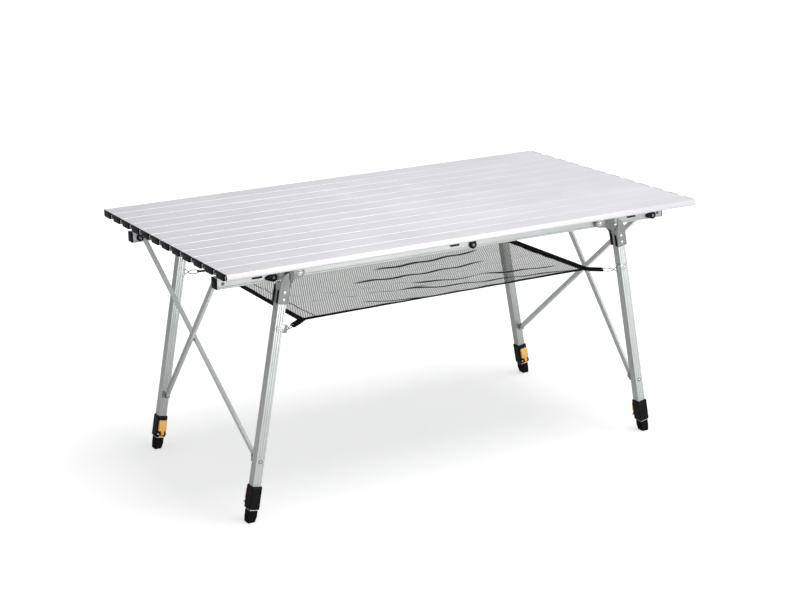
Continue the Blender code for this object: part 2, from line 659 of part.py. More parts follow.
def make_braces(brace_finish, swivel_finish):
    """The crossed braces at each end, and a swivel at each end of each brace.

    The two braces of an end pass each other. The front leg's brace lies outboard at the right end and inboard at
    the left end, so the frame looks the same when it is turned half round.
    """
    for row, side_y in (("front", 1), ("back", -1)):
        top, foot = brace_ends(side_y)
        pin = brace_frame(side_y)[1]
        for end, side_x in (("right", 1), ("left", -1)):
            lean = side_x * side_y
            corner = f"{row}_{end}"
            brace = mirrored(brace_mesh(side_y, lean, with_spacer=lean > 0), side_x, 1)
            add_piece(f"brace_{corner}", brace, brace_finish, at_corner(top, side_x, 1))
            for name, place, face_side in (("rail_swivel", top, side_y), ("leg_swivel", foot, -side_y)):
                swivel = mirrored(swivel_mesh(place, face_side, pin, lean), side_x, 1)
                pivot = at_corner(place, side_x, 1)
                add_piece(f"{name}_{corner}", swivel, swivel_finish, pivot, smooth=True)


def make_latches(finish):
    """Turn latches on the rails' outer faces. The middle one of each rail is turned up, the others lie flat."""
    for row, side in (("front", -1), ("back", 1)):
        for i, place in enumerate(LATCH_PLACES):
            middle = Vector((-side * place, side * (RAIL_OUTER_Y + TOUCH), RAIL_MIDDLE - LATCH_DROP))
            turned_up = i == 1
            nose = UP if turned_up else Vector((side, 0, 0))
            across = Vector((1, 0, 0)) if turned_up else UP
            # The nose and disc are the hull of a large and a small circle.
            lean = math.degrees(math.asin((LATCH_RADIUS - LATCH_NOSE_RADIUS) / LATCH_REACH))
            outline = arc((0.0, 0.0), LATCH_RADIUS, 90 - lean, 270 + lean, 12)
            outline += arc((LATCH_REACH, 0.0), LATCH_NOSE_RADIUS, -90 + lean, 90 - lean, 6)
            far = middle + ACROSS * side * LATCH_THICKNESS
            name = f"latch_{row}_{('left', 'middle', 'right')[i if side < 0 else 2 - i]}"
            add_piece(name, prism(outline, middle, far, nose, across), finish, middle, smooth=True)


def net_height(x, y):
    """The net's sag, deepest in the middle, with lengthwise folds that fade out at the edge."""
    u, v = 2 * x / NET_LENGTH, 2 * y / NET_DEPTH
    inside = max(0.0, 1 - u * u) * max(0.0, 1 - v * v)
    folds = sum(math.exp(-(((y - fold) / NET_FOLD_WIDTH) ** 2)) for fold in NET_FOLDS)
    return NET_LIFT - NET_SAG * inside + NET_FOLD_DEPTH * folds * min(1.0, 3 * inside)


def net_rows():
    """Where the net's lengthwise grid lines lie: at its edges, its folds and between them."""
    rows = {NET_DEPTH / 2, -NET_DEPTH / 2}
    for fold in NET_FOLDS:
        rows |= {fold, fold - NET_FOLD_WIDTH, fold + NET_FOLD_WIDTH}
    ordered = sorted(rows)
    wide = 2.5 * NET_FOLD_WIDTH
    between = [(a + b) / 2 for a, b in zip(ordered, ordered[1:]) if b - a > wide]
    return sorted(rows | set(between))


def make_net(finish):
    """The net shelf: one sagging sheet, a webbing tab at each corner and a hook from each tab to its leg's clip."""
    rows = net_rows()
    points = []
    for shift in (0.0, -NET_THICKNESS):
        for i in range(NET_STEPS + 1):
            x = NET_LENGTH * (i / NET_STEPS - 0.5)
            for y in rows:
                pull = NET_EDGE_CURVE * (1 - (2 * x / NET_LENGTH) ** 2)
                drawn = y * (1 - 2 * pull / NET_DEPTH)
                points.append(Vector((x, drawn, net_height(x, y) + shift)))
    across, sheet = len(rows), len(rows) * (NET_STEPS + 1)
    faces = []
    for i in range(NET_STEPS):
        for j in range(across - 1):
            a, b = i * across + j, (i + 1) * across + j
            faces.append((a, a + 1, b + 1, b))
            faces.append((sheet + a, sheet + b, sheet + b + 1, sheet + a + 1))
    edge = [(i * across, (i + 1) * across) for i in range(NET_STEPS)]
    edge += [(NET_STEPS * across + j, NET_STEPS * across + j + 1) for j in range(across - 1)]
    edge += [((i + 1) * across + across - 1, i * across + across - 1) for i in range(NET_STEPS)]
    edge += [(j + 1, j) for j in range(across - 1)]
    faces += [(a, b, sheet + b, sheet + a) for a, b in edge]
    net = mesh_of("net", points, faces)
    tabs = []
    for sides in CORNERS.values():
        tabs += [mirrored(part, *sides) for part in corner_tab()]
    add_piece("net_shelf", combine(net, tabs), finish)


def corner_tab():
    """The front right corner's webbing tab and its wire hook, as two meshes that reach into each other."""
    corner = Vector((NET_LENGTH / 2, -NET_DEPTH / 2, NET_LIFT - NET_THICKNESS / 2))
    clip_face = leg_point(CLIP_PLACE, -LEG_WIDTH / 2 - CLIP_THICKNESS - TOUCH)
    aim = (clip_face - corner).normalized()
    flat = aim.cross(UP).normalized()
    rise = flat.cross(aim).normalized()
    start = corner - aim * 0.012
    tab_end = corner + aim * TAB_LENGTH
    tab = prism(rectangle(TAB_WIDTH, TAB_THICKNESS), start, tab_end, flat, rise)
    hook_end = clip_face - aim * HOOK_THICKNESS / 4
    hook = prism(rectangle(HOOK_THICKNESS, HOOK_THICKNESS), tab_end - aim * 0.004, hook_end, flat, rise)
    return tab, hook


def main():
    """Build the table."""
    clear_scene()
    finishes = make_materials()
    make_slats(finishes["slat"])
    make_rails(finishes["frame"])
    make_cross_bars(finishes["frame"])
    make_brackets(finishes["bracket"])
    make_legs(finishes["frame"])
    make_clamps(finishes["black"], finishes["lever"])
    make_inner_legs(finishes["frame"], finishes["rubber"])
    make_braces(finishes["frame"], finishes["black"])
    make_latches(finishes["black"])
    make_net(finishes["net"])


main()
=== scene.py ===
"""Looks of a folding camp table with a roll-up slatted top, built round its packed CAD model.

Metres, +Z up, origin on the floor under the middle of the top, +X along the slats, -Y to the front.
Corner pieces are worked out for the front right corner and mirrored into the other three.
"""

import math

import bmesh
import bpy
import numpy as np
from bpy.props import FloatProperty, FloatVectorProperty, PointerProperty
from mathutils import Matrix


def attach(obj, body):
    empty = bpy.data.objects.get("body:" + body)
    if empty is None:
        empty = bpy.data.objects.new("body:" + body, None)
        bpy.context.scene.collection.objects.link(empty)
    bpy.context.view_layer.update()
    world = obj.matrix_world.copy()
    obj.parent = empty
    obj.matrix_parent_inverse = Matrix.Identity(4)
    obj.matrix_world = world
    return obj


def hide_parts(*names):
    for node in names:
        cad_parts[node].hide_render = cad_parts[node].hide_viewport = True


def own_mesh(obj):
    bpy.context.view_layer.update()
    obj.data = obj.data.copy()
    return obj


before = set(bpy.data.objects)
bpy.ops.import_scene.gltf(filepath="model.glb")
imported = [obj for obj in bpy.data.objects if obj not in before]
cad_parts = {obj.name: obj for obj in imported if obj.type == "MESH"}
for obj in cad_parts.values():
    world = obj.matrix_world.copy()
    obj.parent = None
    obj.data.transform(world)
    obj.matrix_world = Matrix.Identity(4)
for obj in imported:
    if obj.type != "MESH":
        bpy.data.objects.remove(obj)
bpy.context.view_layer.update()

bl_info = {
    "name": "Folding camp table",
    "version": (1, 0, 0),
    "blender": (4, 5, 0),
    "location": "View3D > Sidebar > Camp table",
    "description": "Builds the visible pieces and finishes of a folding camp table",
    "category": "Add Mesh",
}

MM = 0.001
TOUCH = 0.3 * MM
X, Y, Z = np.eye(3)

# Sizes shared with the CAD model, in metres
SLAT_COUNT = 12
PITCH = 0.056
TOP_Z = 0.580
SLAT_THICKNESS = 0.0135
HALF_TOP = 0.600
RAIL_HALF = 0.579
RAIL_Y = 0.2275
RAIL_OUTER_Y = 0.240
RAIL_Z = 0.5345
RAIL_WIDTH, RAIL_HEIGHT = 0.025, 0.024
PLUG_RIM = 2.2 * MM
BAR_X = (-0.486, 0.0, 0.486)
LEAN = math.radians(10.5)
LEG_WIDTH, LEG_DEPTH = 0.0205, 0.022
LEG_Y = 0.2553
LEG_BACK_Y, LEG_FRONT_Y = 0.2443, 0.2663
PIVOT = np.array((0.390, -LEG_Y, RAIL_Z))
DOWN = np.array((math.sin(LEAN), 0.0, -math.cos(LEAN)))
OUT = np.array((math.cos(LEAN), 0.0, math.sin(LEAN)))
LEG_ORIGIN = PIVOT + 0.0403 * OUT
SLEEVE_TOP, SLEEVE_END = 0.468, 0.5205
PIN_PLACE = 0.5105
PIN_V = 0.018  # the lever's pin, from the leg's middle line towards the table's middle
INNER_TOP, INNER_END = 0.330, 0.5345
FOOT_TOP = 0.5228
BRACE_PLACE = 0.4125
CLIP_PLACE = 0.118
NET_LENGTH, NET_DEPTH, NET_LIFT = 0.750, 0.474, 0.425
NET_SEAM_X = 0.341  # a seam across the net near its left end
# Half widths of the seam's dark line and of the painted shadow along each crease
SEAM_HALF, CREASE_SHADOW_HALF = 1.1 * MM, 4.2 * MM
NET_PULL = {"front_right": 0.0, "front_left": 0.012, "back_right": 0.0, "back_left": 0.005}
# Both ends of each painted crease shadow: x and y, x and y
NET_CREASE_SHADOWS = (
    (-0.029, 0.077, 0.265, 0.073),
    (-0.124, 0.008, 0.235, -0.009),
    (-0.010, -0.064, 0.334, -0.166),
    (-0.143, -0.092, 0.343, -0.224),
    (-0.197, -0.170, -0.027, -0.247),
)
# Each corner's signs on X, Y and Z, seen from the front right one
CORNERS = {
    "front_right": (1, 1, 1),
    "front_left": (-1, 1, 1),
    "back_right": (1, -1, 1),
    "back_left": (-1, -1, 1),
}


# Sizes and colours that a user would change


def length(name, description, default):
    """A length property."""
    return FloatProperty(name=name, description=description, default=default, min=0.0, unit="LENGTH")


def colour(name, description, default):
    """A colour property, in linear values."""
    return FloatVectorProperty(
        name=name, description=description, default=default, min=0.0, max=1.0, size=3, subtype="COLOR"
    )


class CampTableSizes(bpy.types.PropertyGroup):
    """Sizes of the details that the CAD model leaves to the looks."""

    slat_round: length("Slat edge", "Radius of the slats' upper edges", 1.2 * MM)
    cap_proud: length("End cap", "How far the end caps stand out of the slats", 3.6 * MM)
    cap_gap: length("End cap gap", "Room between neighbouring end caps, where the curls show", 18.5 * MM)
    rail_groove: length("Rail groove", "Depth of the grooves along the rails", 0.7 * MM)
    leg_flute: length("Leg flute", "Depth of the flutes along the legs", 1.0 * MM)
    foot_rib: length("Foot rib", "Depth of the grooves between the feet's ribs", 0.6 * MM)
    wire: length("Hook wire", "Thickness of the wire that holds the net", 1.8 * MM)
    binding: length("Binding", "Width of the black tape round the net", 11.0 * MM)


class CampTableColours(bpy.types.PropertyGroup):
    """Colours of the finishes."""

    top: colour("Top", "Satin aluminium of the slats", (0.79, 0.78, 0.82))
    rail: colour("Rails", "Anodised aluminium of the rails", (0.56, 0.585, 0.57))
    # Painted light: the braces are the tubes' anodised aluminium given a lighter tone, to lift the shade
    # that falls on them under the top
    brace: colour("Braces", "Anodised aluminium of the crossed braces", (0.86, 0.89, 0.87))
    tube: colour("Tubes", "Anodised aluminium of the outer legs and cross bars", (0.66, 0.69, 0.67))
    bracket: colour("Brackets", "Grey pressed steel", (0.25, 0.268, 0.26))
    plastic: colour("Plastic", "Black moulded pieces", (0.004, 0.004, 0.005))
    lever: colour("Levers", "Orange clamp levers", (0.97, 0.52, 0.12))
    steel: colour("Steel", "Bolts, rivets and wires", (0.78, 0.79, 0.78))
    net: colour("Net", "Polyester net", (0.31, 0.385, 0.31))
    net_warm: colour("Net, warm", "Warm patches of the net", (0.43, 0.36, 0.34))
    binding: colour("Binding", "Tape round the net", (0.005, 0.005, 0.006))
    floor: colour("Floor", "Studio floor", (0.62, 0.62, 0.62))


# Outlines: closed rows of (u, v) points, counter-clockwise


def in_mm(*rows):
    """Rows of millimetres, as metres."""
    return np.array(rows) * MM


def unit(vector):
    """The vector at length one."""
    return vector / np.linalg.norm(vector)


def rounded(width, height, radii, steps=4, middle=(0.0, 0.0)):
    """A rectangle with round corners: centre + r (cos t, sin t). Radii run from the upper right."""
    turn = np.linspace(0.0, np.pi / 2, steps + 1)
    corners = []
    signs = ((1, 1), (-1, 1), (-1, -1), (1, -1))
    for quarter, ((su, sv), r) in enumerate(zip(signs, np.broadcast_to(radii, 4))):
        t = turn + quarter * np.pi / 2
        corners.append(np.c_[su * (width / 2 - r) + r * np.cos(t), sv * (height / 2 - r) + r * np.sin(t)])
    return np.concatenate(corners) + middle


def circle(radius, sides=24):
    """r (cos t, sin t)."""
    t = np.linspace(0.0, 2 * np.pi, sides, endpoint=False)
    return radius * np.c_[np.cos(t), np.sin(t)]


def teardrop(big, small, reach, steps=12):
    """The hull of a circle at the middle and a smaller one at (reach, 0)."""
    lean = math.asin((big - small) / reach)
    t = np.linspace(np.pi / 2 - lean, 3 * np.pi / 2 + lean, 2 * steps)
    s = np.linspace(-np.pi / 2 + lean, np.pi / 2 - lean, steps)
    far = small * np.c_[np.cos(s), np.sin(s)] + (reach, 0.0)
    return np.concatenate([big * np.c_[np.cos(t), np.sin(t)], far])


def stadium(radius, reach, steps=10):
    """Half circles of one radius about the middle and about (reach, 0), joined by straight sides."""
    t = np.linspace(np.pi / 2, 3 * np.pi / 2, steps)
    s = np.linspace(-np.pi / 2, np.pi / 2, steps)
    halves = np.concatenate([np.c_[np.cos(t), np.sin(t)], np.c_[np.cos(s), np.sin(s)]])
    return radius * halves + np.repeat(((0.0, 0.0), (reach, 0.0)), steps, axis=0)


def inset(outline, depth):
    """Every point moves in from both its edges: p - d (m + n) / (1 + m.n), with m and n their normals."""
    edge = np.roll(outline, -1, axis=0) - outline
    n = np.c_[edge[:, 1], -edge[:, 0]] / np.linalg.norm(edge, axis=1)[:, None]
    m = np.roll(n, 1, axis=0)
    return outline - depth * (m + n) / (1 + (m * n).sum(axis=1))[:, None]


def dense(outline, step):
    """The same outline with points added so that none are further apart than about step."""
    closed_line = np.vstack([outline, outline[:1]])
    run = np.r_[0.0, np.cumsum(np.linalg.norm(np.diff(closed_line, axis=0), axis=1))]
    extra = np.arange(0.0, run[-1], step)
    gap = np.abs(extra[:, None] - run[None, :]).min(axis=1)
    places = np.sort(np.r_[run[:-1], extra[gap > 0.3 * step]])
    return np.c_[np.interp(places, run, closed_line[:, 0]), np.interp(places, run, closed_line[:, 1])]


def grooved(outline, axis, sign, centres, width, depth, flat=False):
    """Grooves in the face at the far end of one axis. The depth falls off as a cosine, or stays flat."""
    shape = outline.copy()
    on_face = outline[:, axis] * sign > (outline[:, axis] * sign).max() - 1e-6
    for centre in centres:
        t = (outline[:, 1 - axis] - centre) / (width / 2)
        fall = (np.abs(t) < 1) * (1.0 if flat else 0.5 + 0.5 * np.cos(np.pi * t))
        shape[:, axis] -= sign * depth * fall * on_face
    return shape


def fluted(outline, axis, centres, width, depth, flat=False):
    """Grooves in both faces across one axis."""
    for sign in (-1, 1):
        outline = grooved(outline, axis, sign, centres, width, depth, flat)
    return outline


# Surfaces: arrays of rings, (stations, points, xyz)


def sweep(outlines, centres, side, height):
    """Ring i is centre_i + u side + v height."""
    outlines, centres = np.asarray(outlines), np.asarray(centres)
    if outlines.ndim == 2:
        outlines = np.broadcast_to(outlines, (len(centres), *outlines.shape))
    return centres[:, None, :] + outlines[..., :1] * side + outlines[..., 1:] * height


def bar(outline, start, end, side, height, edge=0.4 * MM, steps=3, ends=(True, True)):
    """A prism with rounded ends.

    For t from 0 to 90 degrees a ring lies edge (1 - cos t) from the end, inset by edge (1 - sin t).
    """
    start, end = np.asarray(start, float), np.asarray(end, float)
    way = unit(end - start)
    t = np.linspace(0.0, np.pi / 2, steps + 1)
    places, depths = edge * (1 - np.cos(t)), edge * (1 - np.sin(t))
    rings, centres = [], []
    for origin, sign, softened in ((start, 1, ends[0]), (end, -1, ends[1])):
        pairs = list(zip(places, depths)) if softened else [(0.0, 0.0)]
        if sign < 0:
            pairs.reverse()
        for place, depth in pairs:
            rings.append(inset(outline, depth) if depth > 1e-7 else outline)
            centres.append(origin + sign * place * way)
    return sweep(rings, centres, side, height)


def stub(outline, centre, way, near, far, side, height, edge):
    """A bar along a direction, from near to far beyond a centre. Near, far and edge are millimetres."""
    start, end = centre + way * (near * MM), centre + way * (far * MM)
    return bar(outline, start, end, side, height, edge * MM)


def across(axis):
    """An axis at length one, and two directions at right angles to it."""
    axis = unit(axis)
    side = unit(np.cross(axis, Z if abs(axis[2]) < 0.9 else X))
    return axis, side, np.cross(axis, side)


def turned(profile, centre, axis, sides=24, oval=1.0, side=None):
    """A lathe shape: ring i has radius r_i at height h_i on the axis. An oval one is wider along side."""
    axis, first, second = across(axis)
    if side is not None:
        first, second = side, np.cross(axis, side)
    profile = np.asarray(profile, float)
    rings = profile[:, :1, None] * (circle(1.0, sides) * (oval, 1.0))[None]
    centres = np.asarray(centre, float) + profile[:, 1:] * axis
    return sweep(rings, centres, first, second)


def dome(centre, axis, radius, height, sides=24, oval=1.0, side=None):
    """A rivet head: radius r cos t and height h sin t, on a short straight rim."""
    t = np.linspace(0.0, 0.49 * np.pi, 6)
    rim = 0.2 * height
    profile = np.c_[radius * np.cos(t), rim + (height - rim) * np.sin(t)]
    return turned(np.vstack([(radius, -0.3 * MM), profile]), centre, axis, sides, oval, side)


def wire(path, radius, sides=10):
    """A round section along a path: p + r (cos t n + sin t b), n and b at right angles to it."""
    path = np.asarray(path, float)
    way = np.gradient(path, axis=0)
    way /= np.linalg.norm(way, axis=1)[:, None]
    lean = X if np.abs(way @ X).max() < 0.95 else Y
    n = np.cross(way, lean)
    n /= np.linalg.norm(n, axis=1)[:, None]
    b = np.cross(way, n)
    ring = circle(radius, sides)
    return path[:, None] + ring[None, :, :1] * n[:, None] + ring[None, :, 1:] * b[:, None]


def soft_path(points, steps=8):
    """A smooth path through points: cubic Hermite pieces with the slopes of the neighbours' chords."""
    p = np.asarray(points, float)
    slope = np.gradient(p, axis=0)
    t = np.linspace(0.0, 1.0, steps, endpoint=False)[:, None]
    h = (2 * t**3 - 3 * t**2 + 1, t**3 - 2 * t**2 + t, -2 * t**3 + 3 * t**2, t**3 - t**2)
    spans = zip(p, p[1:], slope, slope[1:])
    pieces = [h[0] * a + h[1] * da + h[2] * b + h[3] * db for a, b, da, db in spans]
    return np.vstack([*pieces, p[-1:]])


# Meshes


def closed(rings, loop=False):
    """Points, faces and UVs of a closed surface: quads between rings, and end faces unless it loops.

    The UVs are metres: along the path and round the outline, or across the plane on an end face.
    """
    stations, count = rings.shape[:2]
    points = rings.reshape(-1, 3)
    first = np.arange(stations * count).reshape(stations, count)
    if not loop:
        first = first[:-1]
    after = np.roll(first, -1, axis=1)
    quads = np.stack([first, after, after + count, first + count], axis=-1).reshape(-1, 4) % len(points)
    middles = rings.mean(axis=1)
    run = np.r_[0.0, np.cumsum(np.linalg.norm(np.diff(middles, axis=0), axis=1))]
    if loop:
        run = np.r_[run, run[-1] + np.linalg.norm(middles[0] - middles[-1])]
    widest = rings[stations // 2]
    girth = np.r_[0.0, np.cumsum(np.linalg.norm(np.roll(widest, -1, axis=0) - widest, axis=1))]
    i, j = np.divmod(np.arange(len(quads)), count)
    u = np.stack([run[i], run[i], run[i + 1], run[i + 1]], axis=-1)
    v = np.stack([girth[j], girth[j + 1], girth[j + 1], girth[j]], axis=-1)
    faces = [list(q) for q in quads.tolist()]
    uvs = [np.c_[a, b] for a, b in zip(u, v)]
    if not loop:
        for ring, order in ((0, slice(None, None, -1)), (stations - 1, slice(None))):
            own = np.arange(ring * count, (ring + 1) * count)[order]
            flat = points[own]
            spread = flat - flat.mean(axis=0)
            plane = np.linalg.svd(spread, full_matrices=False)[2][:2]
            faces.append(own.tolist())
            uvs.append(spread @ plane.T)
    a, b, c, d = (points[quads[:, k]] for k in range(4))
    volume = np.einsum("ij,ij->", a, np.cross(b, c)) + np.einsum("ij,ij->", a, np.cross(c, d))
    for face in faces[len(quads) :]:
        f = points[face]
        volume += np.einsum("ij,ij->", np.broadcast_to(f[0], f[1:-1].shape), np.cross(f[1:-1], f[2:]))
    if volume < 0:
        faces = [face[::-1] for face in faces]
        uvs = [uv[::-1] for uv in uvs]
    return points, faces, uvs


SMOOTH_ANGLE, BEVEL_ANGLE = 32.0, 35.0  # degrees: sharper edges than this stay sharp, or are bevelled


def linked(name, data):
    """A new object in the scene."""
    obj = bpy.data.objects.new(name, data)
    bpy.context.scene.collection.objects.link(obj)
    return obj


def piece(name, surfaces, finish, body, node=None, sides=(1, 1, 1), angle=SMOOTH_ANGLE, loops=()):
    """One object made of closed surfaces, with its finish, its body and the CAD node that it stands for.

    The signs in sides mirror it.
    """
    points, faces, uvs, base = [], [], [], 0
    for k, rings in enumerate(surfaces):
        p, f, uv = closed(rings * sides, loop=k in loops)
        points.append(p)
        faces += [[base + n for n in face] for face in f]
        uvs += uv
        base += len(p)
    mesh = bpy.data.meshes.new(name)
    mesh.from_pydata(np.vstack(points).tolist(), [], faces)
    layer = mesh.uv_layers.new(name="along")
    layer.data.foreach_set("uv", np.vstack(uvs).astype(np.float32).ravel())
    return finished(name, mesh, finish, body, node, angle)


def finished(name, mesh, finish, body, node, angle):
    """The object of a mesh, shaded smooth but for its sharp edges, and tied to the frame."""
    mesh.validate()
    mesh.shade_smooth()
    mesh.set_sharp_from_angle(angle=math.radians(angle))
    mesh.materials.append(finish_of(finish))
    obj = linked(name, mesh)
    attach(obj, body)
    if node:
        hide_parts(node)
    return obj


def softened_copy(node, name, finish, body, edge):
    """A copy of a CAD node, its triangles merged into flat faces, with a small bevel along its edges."""
    shape = bmesh.new()
    shape.from_mesh(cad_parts[node].data)
    bmesh.ops.remove_doubles(shape, verts=shape.verts, dist=1e-5)
    bmesh.ops.dissolve_limit(shape, angle_limit=math.radians(1), verts=shape.verts, edges=shape.edges)
    mesh = bpy.data.meshes.new(name)
    shape.to_mesh(mesh)
    shape.free()
    obj = finished(name, mesh, finish, body, node, BEVEL_ANGLE)
    bevel = obj.modifiers.new("edges", "BEVEL")
    bevel.width = edge
    bevel.segments = 2
    bevel.limit_method = "ANGLE"
    bevel.angle_limit = math.radians(BEVEL_ANGLE)
    bevel.harden_normals = True


def leg(along, out=0.0, v=0.0):
    """A point of the front right leg: down from its pivot, outboard, and v towards the table's middle."""
    return LEG_ORIGIN + along * DOWN + out * OUT + v * Y


def leg_bar(outline, first, last, edge):
    """A bar along the leg. Its outline counts outboard and towards the middle of the table."""
    return bar(outline, leg(first), leg(last), OUT, Y, edge)


# Finishes


class Value:
    """A socket that carries a number or a colour. Arithmetic on it adds Math nodes."""

    def __init__(self, finish, socket):
        self.finish = finish
        self.socket = socket

    def math(self, operation, *others):
        """A Math node fed with this value and the others."""
        inputs = dict(enumerate((self, *others)))
        return self.finish.node("ShaderNodeMath", {"operation": operation}, inputs)

    def __add__(self, other):
        return self.math("ADD", other)

    def __mul__(self, other):
        return self.math("MULTIPLY", other)

    def __sub__(self, other):
        return self.math("SUBTRACT", other)

    def __truediv__(self, other):
        return self.math("DIVIDE", other)

    def __rsub__(self, other):
        return self.finish.node("ShaderNodeMath", {"operation": "SUBTRACT"}, {0: other, 1: self})

    __radd__ = __add__

    def sine(self):
        return self.math("SINE")

    def between(self, low, high):
        """0 below low, 1 above high, and a straight ramp from one to the other."""
        return self.finish.node("ShaderNodeMapRange", {"clamp": True}, {0: self, 1: low, 2: high})


class Finish:
    """A material about one Principled shader."""

    def __init__(self, name, roughness, metallic=0.0, **uniform):
        self.material = bpy.data.materials.new(name)
        self.material.use_nodes = True
        self.tree = self.material.node_tree
        self.shader = self.tree.nodes["Principled BSDF"]
        self.shader.inputs["Roughness"].default_value = roughness
        self.shader.inputs["Metallic"].default_value = metallic
        for key, number in uniform.items():
            self.shader.inputs[key.replace("_", " ")].default_value = number

    def feed(self, socket, item):
        """Link a Value to a socket, or set the socket to a number, a vector or a colour."""
        if isinstance(item, Value):
            self.tree.links.new(item.socket, socket)
        elif hasattr(item, "__len__") and socket.type == "RGBA":
            socket.default_value = (*tuple(item)[:3], 1.0)
        else:
            socket.default_value = item

    def node(self, kind, settings=None, inputs=None, output=0):
        """Any node: its type, its settings, and the numbers or links of its sockets by name or place."""
        made = self.tree.nodes.new(kind)
        for key, setting in (settings or {}).items():
            setattr(made, key, setting)
        for key, item in (inputs or {}).items():
            self.feed(made.inputs[key], item)
        return Value(self, made.outputs[output])

    def place(self, scale=(1.0, 1.0, 1.0), uv=False, turn=0.0):
        """Object coordinates, or the metres along and round a piece, scaled and turned about Z."""
        if uv:
            source = self.node("ShaderNodeUVMap", {"uv_map": "along"})
        else:
            source = self.node("ShaderNodeTexCoord", output="Object")
        inputs = {"Vector": source, "Scale": scale, "Rotation": (0.0, 0.0, turn)}
        return self.node("ShaderNodeMapping", None, inputs)

    def noise(self, scale, detail=2.0, roughness=0.5, vector=None):
        """Fractal noise, from about 0.3 to 0.7, over object coordinates or over a vector of its own."""
        vector = vector or self.place()
        inputs = {"Vector": vector, "Scale": scale, "Detail": detail, "Roughness": roughness}
        return self.node("ShaderNodeTexNoise", None, inputs)

    def split(self, vector):
        """The first two parts of a vector."""
        outputs = self.node("ShaderNodeSeparateXYZ", None, {0: vector}).socket.node.outputs
        return Value(self, outputs[0]), Value(self, outputs[1])

    def mix(self, factor, first, second):
        """A colour between two."""
        inputs = {0: factor, 6: first, 7: second}
        return self.node("ShaderNodeMix", {"data_type": "RGBA"}, inputs, output=2)

    def paint(self, name, item):
        """Feed one of the shader's sockets."""
        self.feed(self.shader.inputs[name], item)

    def bump(self, height, strength, distance):
        """Relief from a height."""
        inputs = {"Strength": strength, "Distance": distance, "Height": height}
        self.paint("Normal", self.node("ShaderNodeBump", None, inputs))


def shade(tone, factor):
    """A colour made lighter or darker."""
    return tuple(min(1.0, part * factor) for part in tone)


def drawn_metal(name, tone, roughness, metallic, contrast):
    """Drawn and anodised aluminium: fine lines along each piece, faint die streaks, and dull patches."""
    f = Finish(name, roughness, metallic)
    lines = f.noise(1.0, 3.0, 0.6, f.place((3.0, 2600.0, 1.0), uv=True))
    streaks = f.noise(1.0, vector=f.place((0.8, 260.0, 1.0), uv=True))
    patches = f.noise(14.0, 3.0)
    mask = (lines - 0.5) * 0.9 + (streaks - 0.5) * 0.8 + (patches - 0.5) * 0.9 + 0.5
    dull, bright = shade(tone, 1 - 2 * contrast), shade(tone, 1 + contrast)
    f.paint("Base Color", f.mix(mask.between(0.1, 0.9), dull, bright))
    f.paint("Roughness", roughness + (patches - 0.5) * 0.30 + (lines - 0.5) * 0.15)
    f.bump(lines * 0.6 + streaks * 0.4, 0.10, 0.00008)
    return f.material


def slat_metal(name, tone):
    """Satin slats: drawn lines along X, a slightly different shade on each slat, and a few scuffs."""
    f = Finish(name, 0.42, 0.35)
    lines = f.noise(1.0, 3.0, 0.6, f.place((2.0, 2200.0, 900.0)))
    slats = f.noise(1.0, 1.0, vector=f.place((0.25, 18.0, 4.0)))
    patches = f.noise(6.0, 3.0)
    scuffs = f.noise(1.0, 4.0, 0.7, f.place((9.0, 140.0, 1.0), turn=0.12)).between(0.66, 0.80)
    mask = (lines - 0.5) * 0.7 + (slats - 0.5) * 0.8 + (patches - 0.5) * 0.5 + 0.5
    base = f.mix(mask.between(0.1, 0.9), shade(tone, 0.93), shade(tone, 1.03))
    f.paint("Base Color", f.mix(scuffs * 0.10, base, shade(tone, 0.75)))
    f.paint("Roughness", 0.42 + (patches - 0.5) * 0.20 + (lines - 0.5) * 0.12 + scuffs * 0.12)
    f.bump(lines, 0.06, 0.00006)
    return f.material


def pressed_steel(name, tone):
    """Grey powder-coated steel: a fine orange-peel surface and slightly paler rubbed places."""
    f = Finish(name, 0.42, 0.25)
    peel = f.noise(1400.0)
    cloud = f.noise(60.0, 3.0)
    f.paint("Base Color", f.mix(cloud.between(0.3, 0.7), shade(tone, 0.88), shade(tone, 1.12)))
    f.paint("Roughness", 0.42 + (cloud - 0.5) * 0.25)
    f.bump(peel, 0.18, 0.00012)
    return f.material


def moulded(name, tone, roughness, grain, relief, gloss):
    """Moulded plastic or rubber: a spark-eroded grain, and shinier worn places."""
    f = Finish(name, roughness, Specular_IOR_Level=gloss)
    fine = f.noise(grain)
    worn = f.noise(45.0, 3.0)
    paler = tuple(part * 1.2 + 0.002 for part in tone)
    f.paint("Base Color", f.mix(worn.between(0.35, 0.75), tone, paler))
    f.paint("Roughness", roughness + (worn - 0.5) * 0.30 + (fine - 0.5) * 0.10)
    f.bump(fine, relief, 0.00012)
    return f.material


def bright_steel(name, tone):
    """Plated steel of the bolts, rivets and wires, with faint turning marks."""
    f = Finish(name, 0.28, 0.85)
    marks = f.noise(900.0)
    tarnish = f.noise(120.0)
    f.paint("Base Color", f.mix(tarnish.between(0.35, 0.75), tone, shade(tone, 0.78)))
    f.paint("Roughness", 0.28 + (tarnish - 0.5) * 0.30)
    f.bump(marks, 0.08, 0.00006)
    return f.material


def threads(run, apart):
    """Waves from 0 to 1 along a run, one for every thread."""
    return (run * (2 * math.pi / apart)).sine() * 0.5 + 0.5


def line_mask(place, centre, half):
    """1 on a line at a place along an axis, falling to 0 within half its width."""
    return 1 - (place - centre).math("ABSOLUTE").between(0.4 * half, half)


